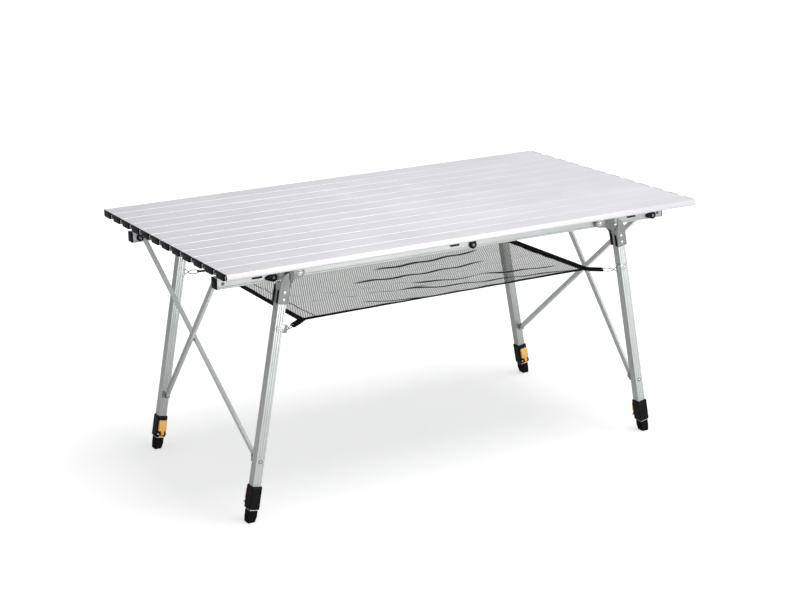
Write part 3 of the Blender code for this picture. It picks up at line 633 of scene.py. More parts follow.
def net_cloth(name, tone, warm):
    """Fine see-through net: slanting threads crossed by finer ones, warm patches and dark seams.

    A crease is a dark straight line between two points, fading out at both ends.
    """
    f = Finish(name, 0.75, 0.0, Sheen_Weight=0.1, Specular_IOR_Level=0.25)
    x, y = f.split(f.place())
    slant = threads(x * 0.91 - y * 0.42, 5.0 * MM)
    cross = threads(x * 0.50 + y * 0.87, 3.1 * MM)
    patch = f.noise(1.6, 3.0, vector=f.place((3.0, 7.0, 1.0)))
    seam_and_crease_shadow = line_mask(x, -NET_SEAM_X, SEAM_HALF)
    for x0, y0, x1, y1 in NET_CREASE_SHADOWS:
        run = (x - x0) / (x1 - x0)
        fade = (run * (1 - run) * 8.0).between(0.0, 1.0)
        seam_and_crease_shadow = seam_and_crease_shadow + line_mask(y - run * (y1 - y0), y0, CREASE_SHADOW_HALF) * fade
    base = f.mix(patch.between(0.54, 0.70), tone, warm)
    woven = f.mix(slant * 0.9 + cross * 0.1, shade(tone, 0.58), base)
    # Painted shadow: along each crease the net is painted nearly black and made opaque, as it is along the
    # seam's own dark line
    f.paint("Base Color", f.mix(seam_and_crease_shadow.between(0.0, 1.0), woven, shade(tone, 0.05)))
    f.paint("Roughness", 0.70 + patch * 0.2)
    f.paint("Alpha", (slant * 0.36 + 0.26 + seam_and_crease_shadow).between(0.0, 1.0))
    f.bump(slant, 0.35, 0.0004)
    return f.material


def webbing(name, tone):
    """Black woven tape: ribs 1.1 mm apart across its length, crossed by finer threads."""
    f = Finish(name, 0.65, 0.0, Specular_IOR_Level=0.06)
    u, v = f.split(f.place(uv=True))
    weave = threads(u, 1.1 * MM) * 0.6 + threads(v, 0.7 * MM) * 0.4
    f.paint("Base Color", f.mix(weave, tone, tuple(part * 1.8 + 0.004 for part in tone)))
    f.paint("Roughness", 0.6 + weave * 0.2)
    f.bump(weave, 0.5, 0.0003)
    return f.material


# Each finish's slot, recipe, material name, colours, and the numbers that its recipe takes
FINISHES = {
    "slat": ("satin_aluminium", slat_metal, "satin_slats", ("top",)),
    "rail": ("anodised_aluminium", drawn_metal, "anodised_rail", ("rail",), 0.36, 0.35, 0.04),
    "tube": ("anodised_aluminium", drawn_metal, "anodised_tube", ("tube",), 0.36, 0.45, 0.05),
    # The brace finish is a lighter copy of the anodised aluminium: painted light against the braces' shade
    "brace": ("anodised_aluminium", drawn_metal, "anodised_brace", ("brace",), 0.40, 0.20, 0.04),
    "bracket": ("grey_pressed_steel", pressed_steel, "grey_steel", ("bracket",)),
    "black": ("black_nylon", moulded, "black_nylon", ("plastic",), 0.42, 1800.0, 0.30, 0.12),
    "rubber": ("black_rubber", moulded, "black_rubber", ("plastic",), 0.68, 1200.0, 0.45, 0.12),
    "orange": ("orange_nylon", moulded, "orange_nylon", ("lever",), 0.38, 1500.0, 0.15, 0.5),
    "steel": ("anodised_aluminium", bright_steel, "plated_steel", ("steel",)),
    "net": ("grey_net", net_cloth, "grey_net", ("net", "net_warm")),
    "tape": ("grey_net", webbing, "black_tape", ("binding",)),
}
MADE = {}


def finish_of(key):
    """The material of a finish, made when it is first asked for."""
    if key not in MADE:
        _, recipe, name, colours, *numbers = FINISHES[key]
        tones = (tuple(getattr(bpy.context.scene.camp_table_colours, colour)) for colour in colours)
        MADE[key] = recipe(name, *tones, *numbers)
    return MADE[key]


# Top

CAP_REACH = 1.2 * MM  # how far the caps stand past the CAD slats' ends
CAP_DROP = 0.7 * MM
CURL_RADIUS, CURL_WALL, CURL_DEPTH, CURL_INSET = 4.3 * MM, 1.8 * MM, 1.8 * MM, 5.4 * MM
CURL_TURN = math.radians(66)
FRONT_RIVETS = ((-0.5946, 0.5725), (-0.3305, 0.5690), (0.3305, 0.5690), (0.5946, 0.5725))
BAR_HALF, BAR_HEIGHT, BAR_WALL = 11 * MM, 19.4 * MM, 1.2 * MM
SADDLE_START, HOOK_IN, HOOK_OUT, HOOK_DROP = 0.2130, 0.2403, 0.2430, 0.013


def slat_pieces(sizes):
    """Twelve slats: a skin with softened edges, black end caps, and the curled edges between them.

    A curl is an arc of a flat strip: centre + (r + u) (cos t, sin t), t to 66 degrees either way.
    """
    cap_end = HALF_TOP + CAP_REACH
    skin_end = cap_end - sizes.cap_proud
    section = rounded(PITCH - TOUCH, SLAT_THICKNESS, (sizes.slat_round, sizes.slat_round, 3 * MM, 3 * MM))
    section = grooved(dense(section, 3 * MM), 1, -1, (-14 * MM, 0.0, 14 * MM), 5 * MM, 0.7 * MM)
    cap_radii, plate_radii = in_mm((1, 1, 4, 4), (0.8, 0.8, 4.6, 4.6))
    cap = rounded(PITCH - sizes.cap_gap, SLAT_THICKNESS + 0.8 * MM, cap_radii, 5, (0.0, -CAP_DROP))
    plate = rounded(PITCH - 1.2 * MM, SLAT_THICKNESS - 1.2 * MM, plate_radii)
    turn = np.linspace(-CURL_TURN, CURL_TURN, 11)[:, None, None]
    radial = np.cos(turn) * Y + np.sin(turn) * Z
    strip = rounded(CURL_WALL, CURL_DEPTH, 0.2 * MM, 2)[None]
    for i in range(SLAT_COUNT):
        node = f"slat_{i + 1:02d}"
        body = "top_back" if i == 0 else node
        middle = np.array((0.0, (SLAT_COUNT / 2 - i - 0.5) * PITCH, TOP_Z - SLAT_THICKNESS / 2))
        skin = bar(section, middle - skin_end * X, middle + skin_end * X, Y, Z, 0.3 * MM)
        piece(node + "_skin", [skin], "slat", body, node)
        caps, curls = [], []
        for end in (-X, X):
            tip = middle + end * skin_end
            caps.append(bar(cap, tip - end * 4 * MM, middle + end * cap_end, Y, Z, 0.6 * MM))
            caps.append(stub(plate, tip, end, -3.0, 0.4, Y, Z, 0.2))
            for side in (-1, 1):
                aside = side * (PITCH / 2 - CURL_INSET) - CURL_RADIUS
                centre = tip + aside * Y + end * 1.0 * MM
                curls.append(centre + (CURL_RADIUS + strip[..., :1]) * radial + strip[..., 1:] * X)
        piece(node + "_caps", caps, "black", body)
        piece(node + "_curls", curls, "slat", body)
    face = -SLAT_COUNT / 2 * PITCH + 0.1 * MM
    rivets = [dome((x, face, z), -Y, 1.7 * MM, 0.7 * MM, 16) for x, z in FRONT_RIVETS]
    piece("front_slat_rivets", rivets, "steel", "slat_12")


def cross_bar_pieces():
    """Three channels under the slats, each with black saddles that hook over the rails."""
    half, high, inner = BAR_HALF, BAR_HEIGHT, BAR_HALF - BAR_WALL
    roof = high - BAR_WALL
    channel = [(half, 0), (half, high), (-half, high), (-half, 0)]
    channel += [(-inner, 0), (-inner, roof), (inner, roof), (inner, 0)]
    hook = [(SADDLE_START, 0), (HOOK_IN, 0), (HOOK_IN, -HOOK_DROP), (HOOK_OUT, -HOOK_DROP)]
    hook = np.array(hook + [(HOOK_OUT, high), (SADDLE_START, high)])
    for i, x in enumerate(BAR_X):
        node, base = f"cross_bar_{i + 1}", np.array((x, 0.0, TOP_Z - SLAT_THICKNESS - TOUCH - high))
        ends = base - SADDLE_START * Y, base + SADDLE_START * Y
        skin = bar(np.array(channel), *ends, X, Z, 0.0, steps=1)
        piece(node + "_channel", [skin], "tube", "top_back", node)
        ends = base - (half + 0.2 * MM) * X, base + (half + 0.2 * MM) * X
        saddles = [bar(hook, *ends, side, Z, 0.5 * MM) for side in (-Y, Y)]
        piece(node + "_saddles", saddles, "black", "top_back")


# Frame

PANEL_MARGIN = 8 * MM
RAIL_SCREW_X = 0.5640
BRACKET_ARM_Y = RAIL_OUTER_Y + TOUCH + 10 * MM
BRACKET_CHEEK_Y = LEG_FRONT_Y + 4 * MM
BRACKET_RIVETS = (0.040, 0.056)
# Black strips that stand in for the shadowed gaps between the brackets' cheeks and the leg: outboard,
# across and along the leg
SHADE_STRIP_OUT, SHADE_STRIP_V, SHADE_STRIP_PLACES = 12.8 * MM, 8.6 * MM, (0.036, 0.0645)
LATCH_X = (-0.449, 0.0465, 0.547)
LATCH_BODY, LATCH_DEPTH = (8.8 * MM, 4 * MM, 14.5 * MM), 5.4 * MM


def rail_pieces(sizes):
    """Two rails with long grooves, black end plugs over their whole ends, and a screw near each end."""
    section = dense(rounded(RAIL_WIDTH, RAIL_HEIGHT, 1.6 * MM), 0.6 * MM)
    for axis, centres in ((0, (-7.6 * MM, 7.6 * MM)), (1, (-6 * MM, 6 * MM))):
        section = fluted(section, axis, centres, 1.5 * MM, sizes.rail_groove)
    plug = rounded(RAIL_WIDTH, RAIL_HEIGHT, 1.8 * MM)
    panel = rounded(RAIL_WIDTH - PANEL_MARGIN, RAIL_HEIGHT - PANEL_MARGIN, 2 * MM)
    ring = in_mm((3.4, -0.3), (3.4, 0.5), (3.0, 0.9), (2.0, 1.0), (1.9, 0.5), (0.05, 0.5))
    end = RAIL_HALF - PLUG_RIM - 0.1 * MM
    for row, out in (("front", -Y), ("back", Y)):
        middle = out * RAIL_Y + RAIL_Z * Z
        body, rail = row + "_frame", row + "_rail"
        skin = bar(section, middle - end * X, middle + end * X, Y, Z, 0.3 * MM)
        piece(rail + "_skin", [skin], "rail", body, rail)
        plugs, screws, heads = [], [], []
        for way in (-X, X):
            tip = middle + way * RAIL_HALF
            plugs.append(bar(plug, tip - way * PLUG_RIM, tip, Y, Z, 0.6 * MM))
            plugs.append(stub(panel, tip, way, -2.0, 0.5, Y, Z, 0.4))
            spot = way * RAIL_SCREW_X + out * RAIL_OUTER_Y + (RAIL_Z - 0.4 * MM) * Z
            screws.append(turned(ring, spot, out))
            heads.append(dome(spot + out * 0.5 * MM, out, 1.9 * MM, 0.6 * MM, 16))
        piece(rail + "_plugs", plugs, "black", body)
        piece(rail + "_screws", screws, "black", body)
        piece(rail + "_screw_heads", heads, "bracket", body)


def bracket_pieces():
    """Grey pressed brackets with softened edges, bolts, washers, oval rivets and dark side strips."""
    bolt_at = np.array((PIVOT[0], -BRACKET_ARM_Y, RAIL_Z))
    washer = turned(in_mm((6.0, -0.2), (6.0, 0.4), (5.7, 0.7), (0.05, 0.7)), bolt_at, -Y)
    bolts = [dome(bolt_at - 0.6 * MM * Y, -Y, 4.2 * MM, 2.6 * MM)]
    for place in BRACKET_RIVETS:
        at = leg(place)
        at[1] = -BRACKET_CHEEK_Y
        bolts.append(dome(at, -Y, 3.3 * MM, 1.3 * MM, 20, 1.35, DOWN))
    # Painted shade: black strips where the gaps between the cheeks and the leg fall into shadow
    spots = [(out, v) for out in (-SHADE_STRIP_OUT, SHADE_STRIP_OUT) for v in (-SHADE_STRIP_V, SHADE_STRIP_V)]
    shapes = [rounded(0.9 * MM, 6.8 * MM, 0.3 * MM, 2, spot) for spot in spots]
    shade_strips = [leg_bar(shape, *SHADE_STRIP_PLACES, 0.2 * MM) for shape in shapes]
    for corner, sides in CORNERS.items():
        node, body = "bracket_" + corner, "leg_" + corner
        softened_copy(node, node + "_shell", "bracket", body, 0.5 * MM)
        piece(node + "_washer", [washer], "tube", body, sides=sides)
        piece(node + "_liners", shade_strips, "black", body, sides=sides)
        piece(node + "_bolts", bolts, "steel", body, sides=sides)


def latch_pieces():
    """Turn latches: black teardrops with a raised rib and a dark screw. The middle ones point up."""
    screw_ring = in_mm((3.2, -0.4), (3.2, 0.5), (2.7, 0.9), (1.2, 0.9), (1.1, 0.4), (0.05, 0.4))
    ridge = rounded(11 * MM, 4.4 * MM, 2 * MM, 4, (10 * MM, 0.0))
    for row, side in (("front", -1), ("back", 1)):
        out = side * Y
        for i, place in enumerate(LATCH_X):
            node = f"latch_{row}_{('left', 'middle', 'right')[i if side < 0 else 2 - i]}"
            middle = np.array((-side * place, side * (RAIL_OUTER_Y + TOUCH), RAIL_Z - 3.5 * MM))
            nose, wide = (Z, X) if i == 1 else (side * X, Z)
            top = middle + out * LATCH_DEPTH
            base = bar(teardrop(*LATCH_BODY), middle, top, nose, wide, 1.3 * MM, ends=(False, True))
            rib = stub(ridge, middle, out, 4.0, 7.0, nose, wide, 0.9)
            piece(node + "_body", [base, rib], "black", node, node)
            piece(node + "_screw", [turned(screw_ring, top, out)], "bracket", node)


# Legs

LEG_TUBE = (0.021, 0.512)  # both ends, along the leg
CLIP_HALF, CLIP_SKIN, CLIP_WRAP = 6.5 * MM, 1.2 * MM, 15 * MM
SLEEVE_RINGS = ((0.0, 1.6), (0.9, 0.5), (2.2, 0.0), (5.0, 0.0), (5.7, 0.0), (45.6, 0.0), (46.4, 0.0))
SLEEVE_RINGS += ((50.6, 0.0), (51.9, 0.5), (52.5, 1.6))  # place along the sleeve and inset, mm
FRAMED = (5.5, 46.0)  # where the sleeve's framed panels are, mm along it
LIP_START, TONGUE_START = 0.5162, 0.502
LEVER_FACE = 13.5 * MM + TOUCH
# Place along the leg, in metres, and the paddle's thickness and width there, in mm
LEVER_RINGS = (
    (0.4775, 3.0, 16.4),
    (0.4781, 4.0, 18.0),
    (0.4795, 4.8, 19.2),
    (0.4830, 5.6, 19.6),
    (0.4960, 6.4, 19.6),
    (0.5015, 6.5, 19.6),
    (0.5032, 6.2, 18.6),
    (0.5040, 5.0, 16.5),
)
FOOT_PATCH = 0.88  # the foot's flat patch on the floor, as a share of its section


def corner_pieces(*rows):
    """Front right pieces, mirrored into every corner. A row is name, parts, finish, body and CAD node."""
    for corner, sides in CORNERS.items():
        for name, parts, finish, *ties in rows:
            piece(name.format(corner), parts, finish, *(tie + corner for tie in ties), sides=sides)


def leg_pieces(sizes):
    """Outer legs with flutes, each with a clip and a screw for the net, a brace rivet and an inner pad."""
    section = dense(rounded(LEG_WIDTH, LEG_DEPTH, 2.2 * MM), 0.5 * MM)
    for axis, centres in ((1, (-5.2 * MM, 0.0, 5.2 * MM)), (0, (-3.5 * MM, 3.5 * MM))):
        section = fluted(section, axis, centres, 2.6 * MM, sizes.leg_flute)
    tube = leg_bar(section, *LEG_TUBE, 0.3 * MM)
    half_w, half_d, spare = LEG_WIDTH / 2, LEG_DEPTH / 2, 0.15 * MM
    clip_u, clip_v = -half_w - CLIP_SKIN, -half_d - CLIP_SKIN
    wrap, within, beside = clip_u + CLIP_WRAP, -half_d + spare, -half_w + spare
    clip = [(clip_u, half_d / 2), (clip_u, clip_v), (wrap, clip_v), (wrap, within), (beside, within)]
    clip = np.array(clip + [(beside, half_d / 2)])
    band = leg_bar(clip, CLIP_PLACE - CLIP_HALF, CLIP_PLACE + CLIP_HALF, 0.3 * MM)
    disc_rings = in_mm((6.4, -0.3), (6.4, 0.5), (6.0, 0.8), (0.05, 0.8))
    disc = turned(disc_rings, leg(CLIP_PLACE, 0.0, clip_v), -Y)
    screw = dome(leg(CLIP_PLACE, 0.0, clip_v - 0.7 * MM), -Y, 3.1 * MM, 1.7 * MM, 20)
    lug = rounded(10 * MM, 1.6 * MM, 0.5 * MM, 3, (clip_u - 3.6 * MM, -half_d + 1.5 * MM))
    plate = leg_bar(lug, CLIP_PLACE - 8 * MM, CLIP_PLACE + 10 * MM, 0.5 * MM)
    ring_rings = in_mm((4.6, -0.2), (4.6, 0.4), (4.2, 0.7), (3.0, 0.7), (2.9, 0.2), (0.05, 0.2))
    ring = turned(ring_rings, leg(BRACE_PLACE, 0.0, -half_d), -Y)
    head = dome(leg(BRACE_PLACE, 0.0, -half_d + 0.2 * MM), -Y, 2.5 * MM, 1.3 * MM, 20)
    pad_ends = leg(BRACE_PLACE, 0, half_d), leg(BRACE_PLACE, 0, half_d + 4.6 * MM)
    pad = bar(rounded(11 * MM, 15 * MM, 3.0 * MM), *pad_ends, OUT, DOWN, 0.8 * MM)
    corner_pieces(
        ("leg_{}_tube", [tube], "tube", "leg_", "leg_"),
        ("leg_{}_clip", [band, disc, screw], "steel", "leg_"),
        ("leg_{}_rivet", [head], "steel", "leg_"),
        ("leg_{}_rivet_ring", [ring], "bracket", "leg_"),
        ("leg_{}_lug", [plate], "bracket", "leg_"),
        ("leg_{}_pad", [pad], "tube", "leg_"),
    )


def clamp_pieces():
    """Clamp sleeves with framed panels, ears, a pin and an orange lip, and the orange cam levers."""
    outer = dense(rounded(25 * MM, 27 * MM, 2.6 * MM), 0.7 * MM)
    framed = grooved(outer, 1, -1, (0.0,), 19 * MM, 0.6 * MM, flat=True)
    framed = fluted(framed, 0, (0.0,), 20 * MM, 0.5 * MM, flat=True)
    shapes = [framed if FRAMED[0] < place < FRAMED[1] else outer for place, _ in SLEEVE_RINGS]
    depths = [depth * MM for _, depth in SLEEVE_RINGS]
    rings = [inset(shape, depth) if depth else shape for shape, depth in zip(shapes, depths)]
    sleeve = sweep(rings, [leg(SLEEVE_TOP + place * MM) for place, _ in SLEEVE_RINGS], OUT, Y)
    t = np.linspace(-np.pi / 2, np.pi / 2, 9)
    ear = np.vstack([(-5.5, -4.8), 4.8 * np.c_[np.cos(t), np.sin(t)], (-5.5, 4.8)]) * MM
    pin_at = leg(PIN_PLACE, 0.0, PIN_V)
    ears = [stub(ear, pin_at, way, 4.3, 7.8, Y, DOWN, 0.5) for way in (-OUT, OUT)]
    pin = [stub(circle(1.5 * MM, 16), pin_at, OUT, -9.5, 9.5, Y, DOWN, 0.3)]
    pin += [stub(circle(2.4 * MM, 20), pin_at, way, 8.0, 11.5, Y, DOWN, 0.9) for way in (-OUT, OUT)]
    lip_shape = rounded(11.5 * MM, 3.4 * MM, 1 * MM, 3, (0.0, 14.3 * MM))
    lip = leg_bar(lip_shape, LIP_START, SLEEVE_END + 0.2 * MM, 0.6 * MM)
    middles = [(0.0, LEVER_FACE + deep * MM / 2) for _, deep, _ in LEVER_RINGS]
    sizes = [(wide * MM, deep * MM, 1.4 * MM, 4) for _, deep, wide in LEVER_RINGS]
    shapes = [rounded(*size, middle) for size, middle in zip(sizes, middles)]
    paddle = sweep(shapes, [leg(place) for place, _, _ in LEVER_RINGS], OUT, Y)
    tongue_shape = rounded(8 * MM, 6.6 * MM, 1 * MM, 3, (0.0, LEVER_FACE + 4.2 * MM))
    tongue = leg_bar(tongue_shape, TONGUE_START, PIN_PLACE, 0.3 * MM)
    barrel = stub(circle(3.3 * MM), pin_at, OUT, -3.98, 3.98, Y, DOWN, 0.4)
    corner_pieces(
        ("clamp_{}_sleeve", [sleeve, *ears], "black", "leg_", "clamp_"),
        ("clamp_{}_pin", pin, "steel", "leg_"),
        ("clamp_{}_lip", [lip], "orange", "leg_"),
        ("clamp_lever_{}_arm", [paddle, tongue, barrel], "orange", "lever_", "clamp_lever_"),
    )


def inner_leg_pieces(sizes):
    """Inner legs, and ribbed feet drawn in to a flat patch on the floor."""
    section = dense(rounded(17.5 * MM, 19 * MM, 1.6 * MM), 0.5 * MM)
    section = fluted(section, 1, (-4.4 * MM, 0.0, 4.4 * MM), 2.2 * MM, 0.5 * MM)
    tube = leg_bar(section, INNER_TOP, INNER_END, 0.3 * MM)
    plain = dense(rounded(21 * MM, 23 * MM, 3 * MM, 6), 0.45 * MM)
    ribbed = plain
    for axis, count in ((0, 5), (1, 4)):
        centres = (np.arange(count) - (count - 1) / 2) * 3.6 * MM
        ribbed = fluted(ribbed, axis, centres, 1.7 * MM, sizes.foot_rib)
    top = [(0.0, inset(plain, 0.8 * MM)), (0.6, inset(plain, 0.1 * MM)), (2.4, plain)]
    top += [(3.0, ribbed), (13.5, ribbed)]
    upper = sweep([shape for _, shape in top], [leg(FOOT_TOP + place * MM) for place, _ in top], OUT, Y)
    ground = LEG_ORIGIN + DOWN * (LEG_ORIGIN[2] / math.cos(LEAN))
    lower = []
    for rise, grow in ((3.0, 0.2), (1.0, -0.6), (0.0, -2.2)):
        flat = ground + (inset(plain * FOOT_PATCH, -grow * MM) @ np.array((X, Y)))
        lower.append(flat + rise * MM * Z)
    lower.insert(0, upper[-1] * 0.5 + lower[0] * 0.5)
    foot = np.concatenate([upper, lower])
    # Painted highlight: a bright steel collar in the gap between sleeve and foot stands in for the light
    # on the inner tube there
    highlight_collar_shape = rounded(19.5 * MM, 21.5 * MM, 2.4 * MM)
    collar = leg_bar(highlight_collar_shape, SLEEVE_END + 0.4 * MM, FOOT_TOP - 0.1 * MM, 0.2 * MM)
    corner_pieces(
        ("inner_leg_{}_collar", [collar], "steel", "inner_leg_"),
        ("inner_leg_{}_tube", [tube], "rail", "inner_leg_", "inner_leg_"),
        ("foot_{}_shoe", [foot], "rubber", "inner_leg_", "foot_"),
    )


# Braces

BRACE_TOP = np.array((0.560, 0.2047, RAIL_Z))
PIN_GAP = 16.6 * MM  # from a leg's inner face to the pin of its lower swivel
BRACE_HALF = 6 * MM
SWIVEL_REACH = 10 * MM
# From and to, in mm: outboard of the pins' plane, and the boss's depth
WEB, FLANGE, COVER, SPACER = (1.8, 3.6), (2.8, 8.3), (8.0, 9.0), (-1.5, 2.0)
EAR, PIN, BOSS = (-1.5, 1.5), (-2.2, 4.2), (0.0, 3.0)


def brace_line(side_y):
    """Both pin points of the brace that holds the right leg of that side, and its three directions."""
    top = BRACE_TOP * (1, side_y, 1)
    foot = leg(BRACE_PLACE)
    foot[1] = -side_y * (LEG_BACK_Y - PIN_GAP)
    along = unit(foot - top)
    pin = unit(np.cross(unit(along * (1, 0, 1)), Y))
    pin = pin if pin[0] > 0 else -pin
    return top, foot, along, pin, np.cross(along, pin)


def brace_pieces():
    """Crossed braces: pressed channels with round flat ends, with a spacer and a rivet where two cross.

    At the right end the front leg's brace lies outboard, at the left end the back leg's.
    """
    for row, side_y in (("front", 1), ("back", -1)):
        top, foot, along, pin, side = brace_line(side_y)
        reach = np.linalg.norm(foot - top)
        crossing = top + (foot - top) * (abs(top[1]) / (abs(top[1]) + abs(foot[1])))
        web = stadium(BRACE_HALF, reach)
        edges = [(reach / 2, way * (BRACE_HALF - 0.9 * MM)) for way in (-1, 1)]
        flanges = [rounded(reach - 24 * MM, 1.7 * MM, 0.5 * MM, 2, middle) for middle in edges]
        strip = rounded(reach - 23 * MM, 2 * BRACE_HALF - 0.4 * MM, 1 * MM, 3, (reach / 2, 0.0))
        for end, sx in (("right", 1), ("left", -1)):
            lean, flip, corner = sx * side_y, (sx, 1, 1), f"{row}_{end}"
            body, out = "brace_" + corner, pin * lean
            if lean < 0:
                cover = stub(strip, top, out, *COVER, along, side, 0.3)
                piece(body + "_cover", [cover], "brace", body, sides=flip)
            channel = [stub(web, top, out, *WEB, along, side, 0.35)]
            channel += [stub(flange, top, out, *FLANGE, along, side, 0.4) for flange in flanges]
            piece(body + "_channel", channel, "brace", body, body, flip)
            if lean > 0:
                spacer = stub(circle(6 * MM), crossing, out, *SPACER, along, side, 0.3)
                piece(body + "_spacer", [spacer], "black", body, sides=flip)
            rivet = dome(crossing + out * 3.5 * MM, out, 3.4 * MM, 1.8 * MM)
            piece(body + "_rivet", [rivet], "steel", body, sides=flip)
            swivel_pieces("rail_swivel_" + corner, top, side_y * Y, pin, lean, flip, False)
            swivel_pieces("leg_swivel_" + corner, foot, -side_y * Y, pin, lean, flip, True)


def swivel_pieces(node, place, face, pin, lean, flip, lower):
    """A swivel: a boss against its carrier, an ear for the brace and a pin. The lower ones are grey."""
    out, fall = pin * lean, np.cross(pin, Y)
    back = place + face * SWIVEL_REACH
    t = np.linspace(np.pi / 2, 3 * np.pi / 2, 10)
    ear = np.vstack([in_mm((8, -6), (8, 6)), BRACE_HALF * np.c_[np.cos(t), np.sin(t)]])
    if lower:
        shape, block, cap = (rounded(14 * MM, 17 * MM, 4 * MM, 5), OUT, DOWN), "bracket", "black"
    else:
        shape, block, cap = (circle(9 * MM, 32), X, Z), "black", "bracket"
    outline, side, height = shape
    boss = stub(outline, back, -face, *BOSS, side, height, 0.9)
    joined = stub(ear, place, out, *EAR, face, fall, 0.4)
    piece(node + "_block", [boss, joined], block, node, node, flip)
    collar_rings = in_mm((4.6, 0.0), (4.6, 0.35), (4.2, 0.5), (0.05, 0.5))
    collar = turned(collar_rings, back - face * (BOSS[1] * MM), -face)
    piece(node + "_collar", [collar], cap, node, sides=flip)
    steel = [stub(circle(2.5 * MM), place, out, *PIN, face, fall, 0.2)]
    steel.append(dome(place + out * 3.7 * MM, out, 4.0 * MM, 1.9 * MM))
    steel.append(dome(place - out * 1.5 * MM, -out, 3.4 * MM, 1.4 * MM))
    piece(node + "_pin", steel, "steel", node, sides=flip)


# Net

NET_SAG, NET_WAIST = 0.020, 0.006
NET_FOLDS, FOLD_HALF, FOLD_RISE = (0.094, 0.022, -0.062, -0.120), 0.012, 0.004
RIPPLE, RIPPLE_TURN = 0.0012, (70, 25)  # height, and radians per metre along X and Y
SHEET_GRID, SHEET_THICKNESS = (111, 91), 0.9 * MM
TAPE_STEPS = 40
TAPE_WIDER = 1.9, 1.3  # at the right end and at the left, as shares of its width along X
TAB_REACH, TAB_ROOT, TAB_TILT = 28 * MM, 16 * MM, math.radians(24)
HOOK_OUT_OF_LEG, HOOK_V = -LEG_WIDTH / 2 - 7 * MM, -9.5 * MM


def net_level(x, y):
    """The net's height: it sags in the middle and rises in four soft folds that fade out at its edges."""
    u, v = 2 * x / NET_LENGTH, 2 * y / NET_DEPTH
    inside = np.clip(1 - u * u, 0, None) * np.clip(1 - v * v, 0, None)
    folds = sum(np.exp(-(((y - fold) / FOLD_HALF) ** 2)) for fold in NET_FOLDS)
    ripple = RIPPLE * np.sin(RIPPLE_TURN[0] * x + RIPPLE_TURN[1] * y) * np.minimum(1.0, 4 * inside)
    return NET_LIFT - NET_SAG * inside + FOLD_RISE * folds * np.minimum(1.0, 3 * inside) + ripple


def drawn_in(x, y):
    """The long edges curve in towards the middle: y (1 - 2 c (1 - u u) / depth)."""
    return y * (1 - 2 * NET_WAIST * (1 - (2 * x / NET_LENGTH) ** 2) / NET_DEPTH)


def pulled(x, y):
    """The left corners are drawn out: x less a pull that grows to the left and to the front."""
    front, back = NET_PULL["front_left"], NET_PULL["back_left"]
    pull = (front + back) / 2 - (front - back) * y / NET_DEPTH
    return x - pull * np.clip(-2 * x / NET_LENGTH, 0, None)


def net_corner(sizes, pull):
    """A webbing tab of two layers with a rolled end, its wire link and its V hook, at the front right."""
    corner_at = np.array((NET_LENGTH / 2 + pull, -NET_DEPTH / 2, NET_LIFT - 0.8 * MM))
    clip_at, *ends = [leg(CLIP_PLACE + shift * MM, HOOK_OUT_OF_LEG, HOOK_V) for shift in (3, -7, 9)]
    aim = unit(clip_at - corner_at)
    level_way = unit(np.cross(aim, Z))
    flat_way = math.cos(TAB_TILT) * level_way - math.sin(TAB_TILT) * np.cross(level_way, aim)
    rise = np.cross(flat_way, aim)
    strap = rounded(12.5 * MM, 1.5 * MM, 0.5 * MM, 2)
    tab_end = corner_at + aim * TAB_REACH
    below = rise * 1.7 * MM
    tab = bar(strap, corner_at - aim * TAB_ROOT, tab_end, flat_way, rise, 0.4 * MM)
    under = bar(strap, corner_at - aim * 6 * MM - below, tab_end - below, flat_way, rise, 0.4 * MM)
    roll = stub(circle(2.3 * MM, 16), tab_end - below / 2, flat_way, -5, 5, aim, rise, 0.4)
    thick = sizes.wire / 2
    meeting = clip_at - aim * 12 * MM
    bend = [meeting + (end - meeting) * 0.12 for end in ends]
    path = [ends[0], (ends[0] + meeting) / 2, bend[0], meeting, bend[1], (ends[1] + meeting) / 2, ends[1]]
    far, near = meeting + aim * 1.5 * MM, tab_end - aim * 3 * MM
    t = np.linspace(0.0, 2 * np.pi, 28, endpoint=False)[:, None]
    oval = (far + near) / 2 + np.cos(t) * (far - near) / 2 + np.sin(t) * 4.5 * MM * rise - below / 2
    return (tab, under, roll), (wire(soft_path(path), thick), wire(oval, thick))


